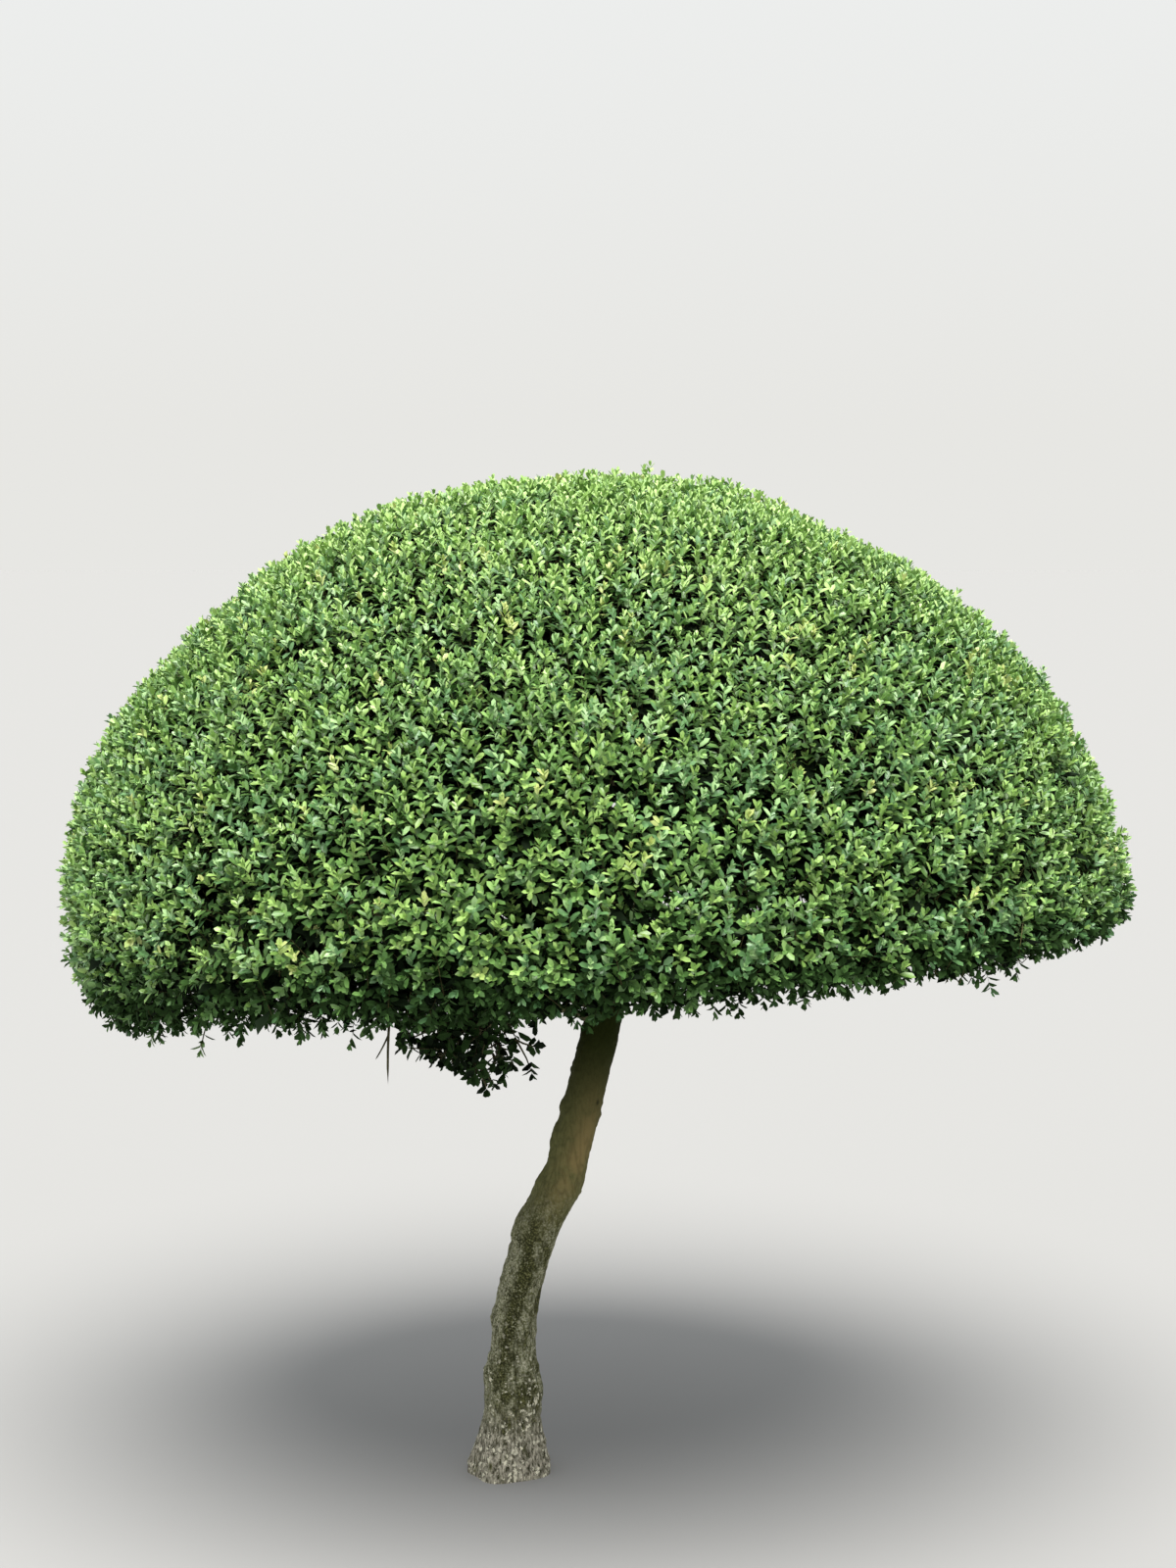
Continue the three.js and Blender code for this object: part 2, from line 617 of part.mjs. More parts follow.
function tuftBranch(foot, way, length, radius, orders) {
  const tip = foot.clone().addScaledVector(way, length);
  if (!insideTuft(tip, -SMALL_LEAF.width / 4)) return [];
  const pieces = shootSolids(foot, tip, radius, TUFT.leaves, SMALL_LEAF, tuftLeafFits, random);
  if (orders === 0) return pieces;
  const firstBearing = random() * 2 * Math.PI;
  for (let i = 0; i < TUFT.forks; i++) {
    const start = foot.clone().lerp(tip, 0.2 + (0.4 * i) / TUFT.forks);
    const next = tipped(way, 0.8 + 0.3 * random(), firstBearing + i * LEAF_TURN);
    next.addScaledVector(UP, -TUFT.droop).normalize();
    pieces.push(...tuftBranch(start, next, length * (0.7 + 0.2 * random()), radius * 0.7, orders - 1));
  }
  return pieces;
}

function addTuft(stemWay) {
  const foot = TUFT.foot.clone().addScaledVector(stemWay, GAP);
  const bend = foot.clone().addScaledVector(stemWay, TUFT.stemBend);
  const line = new THREE.QuadraticBezierCurve3(foot, bend, TUFT.middle);
  const pieces = [limbSolid(tube(5, 4), line, 0, 1, (share) => TUFT.stemRadius * (1 - share / 2))];
  for (let i = 0; i < TUFT.branches; i++) {
    const share = THREE.MathUtils.lerp(TUFT.firstBranch, 0.98, i / (TUFT.branches - 1));
    const way = tipped(line.getTangent(share), 1.5 - 0.9 * share, i * LEAF_TURN);
    way.addScaledVector(UP, -TUFT.droop).normalize();
    pieces.push(...tuftBranch(line.getPoint(share), way, TUFT.branchLength, TUFT.stemRadius * 0.7, 1));
  }
  group.add(meshFrom("low_tuft", wasm.Manifold.union(pieces), foliage));
}

group.add(meshFrom("trunk", trunkSolid(0), bark));
addBoughs();
addLeader();
const tuftStemWay = addLowBough();
addCrown();
addTuft(tuftStemWay);

export default group;
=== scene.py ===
"""Domed standard of a small-leaved evergreen: the bark, limbs, twigs and leaves of the finished plant.

Growth is worked out in millimetres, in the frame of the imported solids, and made in metres."""

import math
from functools import partial

import bpy
import numpy as np
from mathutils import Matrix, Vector, noise
from mathutils.kdtree import KDTree


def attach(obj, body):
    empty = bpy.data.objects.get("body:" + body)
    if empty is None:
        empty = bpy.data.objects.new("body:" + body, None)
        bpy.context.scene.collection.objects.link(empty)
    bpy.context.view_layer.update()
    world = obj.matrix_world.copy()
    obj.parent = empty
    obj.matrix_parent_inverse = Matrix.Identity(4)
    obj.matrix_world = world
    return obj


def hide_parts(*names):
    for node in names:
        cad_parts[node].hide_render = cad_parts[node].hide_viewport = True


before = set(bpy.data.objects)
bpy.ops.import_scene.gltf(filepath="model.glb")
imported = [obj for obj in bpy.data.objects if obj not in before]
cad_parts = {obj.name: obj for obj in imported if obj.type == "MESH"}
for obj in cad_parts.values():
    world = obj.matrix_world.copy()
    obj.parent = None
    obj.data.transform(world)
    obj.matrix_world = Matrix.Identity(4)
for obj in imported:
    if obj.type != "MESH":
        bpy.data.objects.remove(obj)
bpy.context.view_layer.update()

MILLIMETRE = 0.001
UP = np.array([0.0, 0.0, 1.0])

# The crown's clipped outline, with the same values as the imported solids
CROWN = {
    "middle": (125, 10),
    "half_width": 803,
    "half_depth": 780,
    "top": 1524,
    "widest": 900,
    "rim": 790,
    "rim_tilt": 66,
    "rim_high_side": math.radians(-35),
    "droop": 34,
    "droop_side": math.radians(193),
    "droop_spread": 0.45,
    "tuck": 92,
    "ceiling": 882,
    "hollow": 0.5,
    "side_power": 0.98,
    "top_power": 1.12,
}
LEAST_CORE = 8  # least height of the inner mass under its widest ring
CEILING_SHARE = 0.5  # share of an inset that the underside rises by
# Uneven clipping as waves: how far out, how many around, how fast upward, phase
WAVES = [(0.011, 3, 2.2, 0.9), (0.008, 5, -3, 0), (0.005, 9, 5, 1.3), (0.006, 1, 4, 1.6)]
# Where the clipping stands proud or is cut in: compass angle, climb, how far out, spread in degrees
LUMPS = [
    (180, 5, 15, 14),
    (184, -15, 15, 9),
    (180, 35, -17, 12),
    (180, 64, 11, 9),
    (0, 11, -18, 12),
    (0, 54, -12, 11),
    (0, 71, 10, 8),
]
HEART = np.array([CROWN["middle"][0], CROWN["middle"][1], CROWN["widest"]], float)

# The trunk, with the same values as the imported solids
TRUNK = {
    "top": 780,
    "top_radius": 23,
    "neck_radius": 27.5,
    "neck": 690,
    "waist_radius": 33,
    "waist": 250,
    "foot_swell": 8,
    "foot_swell_height": 132,
    "foot_swell_spread": 42,
    "flare": 23,
    "flare_height": 76,
    "oval": 0.018,
    "oval_turn": 90,
    "flutes": 0.014,
    "foot_steps": 0.35,
}
TRUNK_LINE = np.array(
    [
        (0, 0, 0),
        (2, 0, 150),
        (5, -2, 235),
        (17, -5, 303),
        (46, -3, 391),
        (77, 3, 457),
        (99, 6, 532),
        (116, 5, 600),
        (133, 2, 671),
        (158, 0, 780),
    ],
    float,
)
# Root spurs: compass angle, how far they stand out, half width in degrees
ROOT_SPURS = [(-22, 7, 24), (62, 9, 26), (128, 11, 22), (186, 12, 22), (246, 14, 26)]
SPUR_HEIGHT = 62
# Healed pruning scars that swell the bark: compass angle, height, how far out, spread
BURLS = [
    (184, 392, 7, 24),
    (178, 528, 4.5, 17),
    (190, 160, 5, 22),
    (352, 430, 4, 34),
    (265, 300, 3, 20),
    (20, 118, 4, 26),
    (95, 476, 4, 22),
]
KNOBS = {"count": 210, "out": (0.7, 2.4), "spread": (3.0, 7.0), "left_share": 0.35, "left_spread": 0.5}
# Cracks, grit, bumps and lumps of the bark: how wide along each axis, and how far out or deep
BARK_RELIEF = {
    "crack_size": (7.0, 7.0, 26.0),
    "crack_width": 0.13,
    "crack_deep": 0.9,
    "grit_size": (3.6, 3.6, 7.0),
    "grit_out": 0.65,
    "bump_size": (13.0, 13.0, 17.0),
    "bump_out": 0.9,
    "lump_size": (34.0, 34.0, 58.0),
    "lump_out": 1.6,
    "rough_at_foot": 1.7,
    "rough_height": 130.0,
    "even_foot": 6.0,  # height over which the relief fades in from the flat cut at the ground
}
# Where the bark takes another colour: compass angle, half width in degrees, height, half height
STREAK = (-100, 21, 280, 138)
# The right side's tan is partly the bark's own colour and partly painted sunlight
TAN_AND_SUNLIT_SIDE = (-66, 48, 512, 92)
# The silver left side is partly grey lichen and partly painted rim light
SILVER_LICHEN_AND_RIM_LIGHT = (-150, 30, 300, 150)
# A small spot painted near-black as the shade in a knot's hole
KNOT_HOLE_SHADE = (-50, 6, 577, 4.8)
PATCH_WANDER = (0.2, 38.0)  # how far the middle of each wanders round the trunk, and over what height
# Burrs of old cuts on the left: compass angle, height, how far out, spread
BURRS = [
    (182, 571, 5, 11),
    (186, 512, 2.6, 9),
    (181, 455, 4.4, 12),
    (184, 372, 3.6, 12),
    (178, 240, 3, 13),
]
TRUNK_STEPS = 80  # places along each span of the trunk's line
TRUNK_SIDES = 128
TRUNK_RINGS = (20, 18)  # cut twice lengthwise, each part into so many
SMOOTH_UNDER = math.radians(50)

# Boughs that leave the fork: name, compass angle, height on the trunk, radius, reach, rise
BOUGHS = [
    ("bough_right", 4, 744, 12, 400, 175),
    ("bough_back_right", 78, 722, 11.5, 390, 195),
    ("bough_back_left", 146, 748, 12, 410, 170),
    ("bough_left", 212, 728, 12.5, 430, 190),
    ("bough_front", 292, 738, 12, 400, 180),
]
LEADER_RADIUS = 21
LEADER_LEAN = np.array([-14.0, 8.0, 190.0])
LEADER_FROM = -0.02  # where it starts on its own line, a little way inside the trunk
LEADER_LUMPS = 18.0
LEADER_SIDES = 36
BOUGH_TIP_SHARE = 0.62
BOUGH_COLLAR = 0.35
BOUGH_COLLAR_SPREAD = 0.1
BOUGH_SAG = 0.1
BOUGH_BEND = 0.06
BOUGH_LUMPS = 16.0
BOUGH_SIDES = 28
BOUGH_RINGS = (8, 8)
LIMB_STEPS = 40
LIMB_UNEVEN = 0.09  # how far the lumps of a limb stand out, as a share of its radius

# The low twiggy growth beside the trunk
TUFT = {
    "middle": np.array([-40.0, -250.0, 742.0]),
    "foot": np.array([8.0, -160.0, 756.0]),
    "bough_from": 694,
    "bough_radii": (6.5, 4),
    "bough_bend": 18,
    "bough_lumps": 9.0,
    "bough_sides": 18,
    "bough_rings": (6, 6),
    "bough_steps": 30,
    "stem_radii": (4, 1.5),
    "stem_bend": 50,
    "stem_steps": 25,
    "branches": 26,
    "branch_from": (0.22, 0.98),
    "branch_tilt": (1.5, 0.6),
    "branch_turn": math.radians(137),
    "branch_length": 62.4,
    "branch_rise": 6,
    "branch_radii": (2.2, 1.2),
    "branch_steps": 7,
    "droop": 0.25,
    "twig_radii": (1.7, 0.8),
    "twig_steps": 5,
    "depth": (-325, -178),
    "over_middle": 46,
    "tries": 9000,
    "spacing": 21.0,
    "ragged": 13.0,
    "ragged_size": 24.0,
    "shoot_hang": 0.5,
    "shoot_scatter": 0.3,
    "leaf_size": (0.95, 1.15),
    "leaf_width": 0.56,
    "dark_share": 0.35,
}
# Underside of the tuft, from left to right, and how full the growth is over it
TUFT_FLOOR = np.array(
    [
        (-153, 706, 0.6),
        (-128, 699, 0.7),
        (-112, 697, 1),
        (-82, 684, 1),
        (-55, 665, 0.9),
        (-25, 645, 0.6),
        (3, 668, 0.6),
        (12, 680, 0.22),
        (38, 664, 0.22),
        (44, 735, 0.2),
    ],
    float,
)
TUFT_FLOOR_TILT = 0.21  # how much the underside rises towards the front
# Shoots that the shears missed: compass angle, share of the edge's radius, how far they hang, leaf pairs
HANGING = [(216, 0.96, 60, 5), (242, 0.84, 131, 0), (199, 0.97, 40, 5), (318, 0.93, 30, 4)]
HANGING_SHAPE = {
    "inset": 42.0,
    "rise": 14.0,
    "leafy_drop": 0.75,
    "bend": np.array([-9.0, -3.0, 0.0]),
    "radii": (1.6, 0.8),
    "steps": 9,
    "sides": 5,
}
DEAD_TWIG = {
    "lean": np.array([4.0, 0.0, 0.0]),
    "radii": (2.5, 1.5),
    "fork": 5,
    "side_way": np.array([-18.0, 0.0, -34.0]),
    "side_bend": np.array([1.0, 0.0, -2.0]),
    "side_radii": (1.5, 0.9),
}

# How a branch grows from the nearest parent: it starts lower than its tip, and wobbles on its way
BRANCH = {
    "tries": 20000,
    "limb_bare": 0.3,  # share of a limb, from its foot, that no branch grows from
    "bare": 0.35,  # the same for a branch
    "below_fork": 60.0,
    "below_heart": 60.0,
    "start_lower": 0.16,
    "leave": 0.5,
    "arrive": 0.4,
    "wobble": 0.018,
    "thickness": (0.85, 1.15),
}
# Finer growth: how deep under the outline each order of branches ends, how far apart, and its radii
BRANCHES = [
    {"inset": 235, "spacing": 270, "last_share": 0.56, "steps": 8, "sides": 6, "radii": (8.0, 4.2)},
    {"inset": 150, "spacing": 122, "last_share": 0.62, "steps": 6, "sides": 5, "radii": (4.4, 2.4)},
    {"inset": 82, "spacing": 47, "last_share": 0.8, "steps": 5, "sides": 3, "radii": (2.5, 1.1)},
]
# Leafy shoots; length and proud are ranges, and the other pairs are for the dome and for the rim
SHOOT = {
    "spacing": 14.7,
    "rim_spacing": 17.6,
    "tries": 170000,
    "last_share": 0.83,
    "length": (64, 80),
    "radii": (1.1, 0.95, 0.4),
    "foot_inset": 14.0,
    "lift": 0.75,
    "hang": 1.6,
    "scatter": 0.27,
    "clump": 85.0,
    "clump_depth": 8.0,
    "sunk": 9.0,  # how far the tips end inside the outline
    "ragged": (3.8, 7.5),
    "gap_size": 46.0,
    "gap_depth": (30.0, 42.0),
    "gap_under": (-0.43, -0.38),  # noise under which a gap opens
    "proud": (9, 24),
    "proud_share": 0.014,
}
# Shares of the outline over which a thing changes from the dome's to the rim's
WIDER_SPACED = (0.3, 0.6)
MORE_RAGGED = (0.5, 0.62)
MORE_GAPS = (0.3, 0.48)
RIM_LEAVES = (0.2, 0.6)
LIFT_FADES = (0.46, 0.62)
HANG_GROWS = (0.66, 0.75)
UNDER_RIM = (0.53, 0.63)
# Hollows between the sprays: compass angle, share of the outline, how deep, how wide
HOLLOWS = [
    (-113, 0.22, 32, 17),
    (-48, 0.24, 36, 23),
    (-91, 0.29, 40, 21),
    (-77, 0.31, 32, 16),
    (-142, 0.33, 32, 22),
    (-67, 0.34, 42, 20),
    (-86, 0.36, 40, 20),
    (-62, 0.37, 32, 23),
    (-102, 0.41, 48, 22),
    (-111, 0.41, 38, 22),
    (-28, 0.43, 36, 28),
    (-132, 0.43, 38, 20),
    (-64, 0.47, 34, 24),
    (-112, 0.5, 34, 28),
    (-104, 0.5, 46, 28),
]
# Leaf pairs from the tip of a shoot down: how far from the tip, length, spread in degrees
PAIRS = [(1, 9, 18), (5, 13, 28), (11, 15.5, 38), (18, 17, 47), (26, 17.5, 56)]
TUFT_PAIRS = [(1, 14, 30), (8, 18.5, 50), (17, 19, 62)]
OPEN_AT_RIM = 1.22  # how much wider the sprays spread that face out at the rim
OLD_PAIRS = [(34, 17.5, 63), (44, 19, 68)]  # broad old leaves lower on a shoot
INNER_PAIRS = [(58, 33, 77), (73, 37, 80)]  # in the dark at the foot of a shoot
LAST_PAIR_UNTIL = 0.4  # share of the outline up to which shoots have the lower of those
INNER_CLEAR_OF_RIM = 30.0  # how far over the rim those stay
SMALLER_UNDER_RIM = 0.38  # how much smaller the old and inner leaves are under the rim
LEAF_SIZE = (0.96, 1.1)  # on the dome and at the rim
LEAF_SIZE_CHANCE = (0.9, 1.12)
LEAF_WIDTH = (0.47, 0.49)  # share of the leaf's length, on the dome and at the rim
YOUNG_LEAF = 0.97  # the young leaves' size, as a share of that of the other leaves of their shoot
OLD_WIDER = 1.12  # how much wider the old leaves are for their length
# Tints of the old leaves and the share of the outline up to which each is found, as light reaches in
OLD_TINTS = [("mid", 0.33), ("deep", 0.47), ("shade", 0.52), ("inner_shade", 1.0)]
# Leaves strewn inside the crown, along its twigs and then its branches: count, length, how far off
STREWN_OUTER = (9000, 33.0, 14.0)
STREWN_INNER = (8000, 40.0, 16.0)
STREWN = {
    "bare": 0.2,
    "clear_of_rim": 60.0,
    "outward": 0.7,
    "scatter": 0.6,
    "upward": 0.3,
    "roll": 0.7,
    "length": (0.8, 1.2),
    "width": 0.52,
    "curl": (0.08, 0.06),
}
LEAF_LIFT = 0.2  # how far the edges stand over the midrib, as a share of the width
LEAF_CURL = (0.1, 0.07)  # how far the tip hangs, as a share of the length, and how much that differs
PAIR_TURN = math.radians(90)
MISSING_LEAVES = 0.05
# How much single leaves differ from their pair's rule
LEAF_CHANCE = {
    "pair_turn": 0.2,
    "turn": 0.16,
    "spread": 9,
    "widest": 84,
    "upward": 0.35,
    "roll": 0.16,
    "length": (0.82, 1.16),
    "width": (0.88, 1.14),
}

random = np.random.default_rng(20417)


def bell(distance, spread):
    return np.exp(-((distance / spread) ** 2))


def angle_between(a, b):
    return np.arctan2(np.sin(a - b), np.cos(a - b))


def unit(vectors):
    return vectors / np.maximum(np.linalg.norm(vectors, axis=-1, keepdims=True), 1e-9)


def mix(a, b, share):
    return a + (b - a) * share


def ramp(value, start, end):
    """0 before start, 1 past end, even between."""
    return np.clip((value - start) / (end - start), 0, 1)


def noise_at(points, size, shift=0.0):
    """Soft noise, about -1 to 1, at points in millimetres, with lumps of a size; shift picks another part."""
    placed = np.asarray(points, float) / size + shift
    return np.array([noise.noise(Vector(place)) for place in placed.tolist()])


# Crown outline


def bearing_of(turn, climb):
    flat = np.cos(climb)
    return np.stack([flat * np.cos(turn), flat * np.sin(turn), np.sin(climb)], axis=-1)


def wave(turn, climb):
    """Waves and lumps of the clipping, as a factor on the distance from the crown's heart."""
    here = bearing_of(turn, climb)
    grown = np.ones_like(turn)
    for out, around, upward, phase in WAVES:
        grown += out * np.cos(climb) * np.sin(around * turn + upward * climb + phase)
    for lump_turn, lump_climb, out, spread in LUMPS:
        lump = bearing_of(np.radians(lump_turn), np.radians(lump_climb))
        apart = np.arccos(np.clip(here @ lump, -1, 1))
        grown += out / CROWN["half_width"] * bell(apart, math.radians(spread))
    return grown


def rim_height(turn):
    sag = CROWN["droop"] * bell(angle_between(turn, CROWN["droop_side"]), CROWN["droop_spread"])
    return CROWN["rim"] + CROWN["rim_tilt"] * np.cos(turn - CROWN["rim_high_side"]) - sag


def profile(share, turn, inset):
    """How far out and how high the outline is: dome up to a share of 0.5, rim up to 0.75, then underside."""
    widest = CROWN["widest"]
    side = 1 - inset / CROWN["half_width"]
    top = CROWN["top"] - inset
    edge = np.minimum(rim_height(turn) + inset, widest - LEAST_CORE)
    ceiling = CROWN["ceiling"] + inset * CEILING_SHARE
    tuck = CROWN["tuck"] / CROWN["half_width"]
    over = np.minimum(share, 0.5) * math.pi
    dome_height = widest + (top - widest) * np.maximum(np.cos(over), 0) ** CROWN["top_power"]
    dome_out = side * np.sin(over) ** CROWN["side_power"]
    down = (np.clip(share, 0.5, 0.75) - 0.5) * 2 * math.pi
    rim_z = widest - (widest - edge) * np.sin(down)
    rim_out = side - tuck * (1 - np.cos(down))
    inward = (np.maximum(share, 0.75) - 0.75) * 4
    climb = np.sin(math.pi / 2 * np.minimum(1, inward / CROWN["hollow"]))
    under_out = (side - tuck) * (1 - inward)
    under_height = edge + (ceiling - edge) * climb
    out = np.where(share < 0.5, dome_out, np.where(share < 0.75, rim_out, under_out))
    height = np.where(share < 0.5, dome_height, np.where(share < 0.75, rim_z, under_height))
    return out, height


def crown_point(share, turn, inset=0.0):
    """Points of the crown's outline, or of the surface that lies inset from it."""
    out, height = profile(share, turn, inset)
    x = CROWN["half_width"] * out * np.cos(turn)
    y = CROWN["half_depth"] * out * np.sin(turn)
    climb = np.arctan2(height - CROWN["widest"], np.hypot(x, y))
    grown = wave(turn, climb)
    grown = np.where(share < 0.75, grown, 1 + (grown - 1) * out)
    return HEART + np.stack([x, y, height - CROWN["widest"]], axis=-1) * grown[..., None]


def crown_normal(share, turn):
    step = 0.01
    along = crown_point(share + step, turn) - crown_point(np.maximum(share - step, 0), turn)
    around = crown_point(share, turn + step) - crown_point(share, turn - step)
    return -unit(np.cross(around, along))


def well_apart(points, spacing):
    """Picks places in order, leaving out each one that is nearer than its spacing to one picked before."""
    cell = float(np.max(spacing))
    taken = {}
    picked = []
    around = [(a, b, c) for a in (-1, 0, 1) for b in (-1, 0, 1) for c in (-1, 0, 1)]
    least = np.broadcast_to(np.asarray(spacing, float) ** 2, len(points)).tolist()
    cells = np.floor(points / cell).astype(int).tolist()
    for index, (place, (i, j, k)) in enumerate(zip(points.tolist(), cells)):
        x, y, z = place
        near = (other for a, b, c in around for other in taken.get((i + a, j + b, k + c), ()))
        if any((x - o[0]) ** 2 + (y - o[1]) ** 2 + (z - o[2]) ** 2 < least[index] for o in near):
            continue
        taken.setdefault((i, j, k), []).append(place)
        picked.append(index)
    return np.array(picked)


def crown_sites(tries, last_share, inset, spacing, rim_spacing):
    """Well-spread places on the outline or inset from it: shares, compass angles and points."""
    share = random.random(tries) * last_share
    turn = random.random(tries) * 2 * math.pi
    kept = (share >= 0.5) | (random.random(tries) < np.sin(share * math.pi))
    share, turn = share[kept], turn[kept]
    points = crown_point(share, turn, inset)
    picked = well_apart(points, mix(spacing, rim_spacing, ramp(share, *WIDER_SPACED)))
    return share[picked], turn[picked], points[picked]


# Trunk and limbs


def catmull_rom(points, steps):
    """A smooth centripetal line through points, sampled at a number of steps for each span."""
    padded = np.vstack([2 * points[0] - points[1], points, 2 * points[-1] - points[-2]])
    line = []
    for p0, p1, p2, p3 in zip(padded, padded[1:], padded[2:], padded[3:]):
        t0 = np.linalg.norm(p1 - p0) ** 0.5
        t1 = np.linalg.norm(p2 - p1) ** 0.5
        t2 = np.linalg.norm(p3 - p2) ** 0.5
        leave = ((p1 - p0) / t0 - (p2 - p0) / (t0 + t1) + (p2 - p1) / t1) * t1
        reach = ((p2 - p1) / t1 - (p3 - p1) / (t1 + t2) + (p3 - p2) / t2) * t1
        t = np.linspace(0, 1, steps, endpoint=False)[:, None]
        curve = p1 + leave * t + (-3 * p1 + 3 * p2 - 2 * leave - reach) * t**2
        line.append(curve + (2 * p1 - 2 * p2 + leave + reach) * t**3)
    return np.vstack([*line, points[-1:]])


trunk_line = catmull_rom(TRUNK_LINE, TRUNK_STEPS)
trunk_way = unit(np.gradient(trunk_line, axis=0))


def trunk_at(height):
    """The centreline's sideways place and the upright share of its direction, at heights."""
    x = np.interp(height, trunk_line[:, 2], trunk_line[:, 0])
    y = np.interp(height, trunk_line[:, 2], trunk_line[:, 1])
    upright = np.interp(height, trunk_line[:, 2], trunk_way[:, 2])
    return x, y, upright


def trunk_axis(height):
    x, y, _ = trunk_at(height)
    return np.array([float(x), float(y), float(height)])


def trunk_girth(height):
    lower = ramp(height, TRUNK["waist"], TRUNK["neck"])
    upper = ramp(height, TRUNK["neck"], TRUNK["top"])
    straight = mix(TRUNK["waist_radius"], TRUNK["neck_radius"], lower)
    tapered = mix(straight, TRUNK["top_radius"], upper**2)
    swell = TRUNK["foot_swell"] * bell(height - TRUNK["foot_swell_height"], TRUNK["foot_swell_spread"])
    return tapered + swell + TRUNK["flare"] * bell(height, TRUNK["flare_height"])


def trunk_radius(height, angle):
    girth = trunk_girth(height)
    oval = TRUNK["oval"] * np.sin(2 * angle + height / TRUNK["oval_turn"])
    radius = girth * (1 + oval + TRUNK["flutes"] * np.sin(5 * angle))
    for turn, out, wide in ROOT_SPURS:
        away = np.degrees(angle_between(angle, math.radians(turn)))
        radius += out * bell(away, wide) * bell(height, SPUR_HEIGHT)
    for turn, at, out, spread in BURLS:
        around = angle_between(angle, math.radians(turn)) * girth
        radius += out * bell(np.hypot(around, height - at), spread)
    return radius


def bezier(start, middle, end, steps):
    """Points of many quadratic curves at once, shaped (curves, steps, 3)."""
    t = np.linspace(0, 1, steps)[:, None]
    start, middle, end = (np.asarray(p, float)[..., None, :] for p in (start, middle, end))
    return start * (1 - t) ** 2 + middle * 2 * t * (1 - t) + end * t**2


def bough_line(turn, lowest, reach, rise):
    start = trunk_axis(lowest)
    angle = math.radians(turn)
    away = np.array([math.cos(angle), math.sin(angle), 0.0])
    aside = np.array([-away[1], away[0], 0.0])
    end = start + away * reach + UP * rise
    middle = (start + end) / 2 - UP * BOUGH_SAG * reach
    middle = middle + aside * BOUGH_BEND * reach * math.sin(3 * angle + 1)
    return bezier(start, middle, end, LIMB_STEPS)


def bough_taper(radius, share):
    return radius * (mix(1, BOUGH_TIP_SHARE, share) + BOUGH_COLLAR * bell(share, BOUGH_COLLAR_SPREAD))


def leader_radius(share):
    return LEADER_RADIUS * mix(1, BOUGH_TIP_SHARE, share)


def low_bough_radius(share):
    return mix(*TUFT["bough_radii"], share)


def low_bough_line():
    start = trunk_axis(TUFT["bough_from"])
    bend = (start + TUFT["foot"]) / 2 + UP * TUFT["bough_bend"]
    return bezier(start, bend, TUFT["foot"], TUFT["bough_steps"])


# Mesh making


def select_only(piece):
    bpy.ops.object.select_all(action="DESELECT")
    piece.select_set(True)
    bpy.context.view_layer.objects.active = piece


def cut_lengthwise(piece, parts):
    """Cuts every upright edge of the active tube into a number of parts."""
    bpy.ops.object.mode_set(mode="EDIT")
    bpy.ops.mesh.select_mode(type="EDGE")
    bpy.ops.mesh.select_all(action="DESELECT")
    bpy.ops.object.mode_set(mode="OBJECT")
    mesh = piece.data
    heights = [vertex.co.z for vertex in mesh.vertices]
    for edge in mesh.edges:
        a, b = edge.vertices
        edge.select = abs(heights[a] - heights[b]) > 1e-6
    bpy.ops.object.mode_set(mode="EDIT")
    bpy.ops.mesh.subdivide(number_cuts=parts - 1)
    bpy.ops.object.mode_set(mode="OBJECT")


def turned_limb(name, sides, rings, place_of):
    """A closed limb: a cylinder cut into rings, whose corners a function draws out along the limb."""
    bpy.ops.object.select_all(action="DESELECT")
    bpy.ops.mesh.primitive_cylinder_add(vertices=sides, radius=1, depth=1, end_fill_type="TRIFAN")
    piece = bpy.context.object
    piece.name = name
    piece.data.name = name
    for parts in rings:
        cut_lengthwise(piece, parts)
    corners = np.empty(len(piece.data.vertices) * 3)
    piece.data.vertices.foreach_get("co", corners)
    corners = corners.reshape(-1, 3)
    angle = np.arctan2(corners[:, 1], corners[:, 0])
    placed = place_of(corners[:, 2] + 0.5, angle, np.hypot(corners[:, 0], corners[:, 1]))
    piece.data.vertices.foreach_set("co", (placed * MILLIMETRE).ravel())
    piece.data.update()
    select_only(piece)
    bpy.ops.object.shade_smooth_by_angle(angle=SMOOTH_UNDER)
    return piece


def joined_piece(name, corners, faces):
    """One object from arrays of corners, in millimetres, and of three-cornered faces."""
    mesh = bpy.data.meshes.new(name)
    mesh.from_pydata(corners * MILLIMETRE, [], faces)
    mesh.update()
    mesh.shade_smooth()
    piece = bpy.data.objects.new(name, mesh)
    bpy.context.scene.collection.objects.link(piece)
    return piece


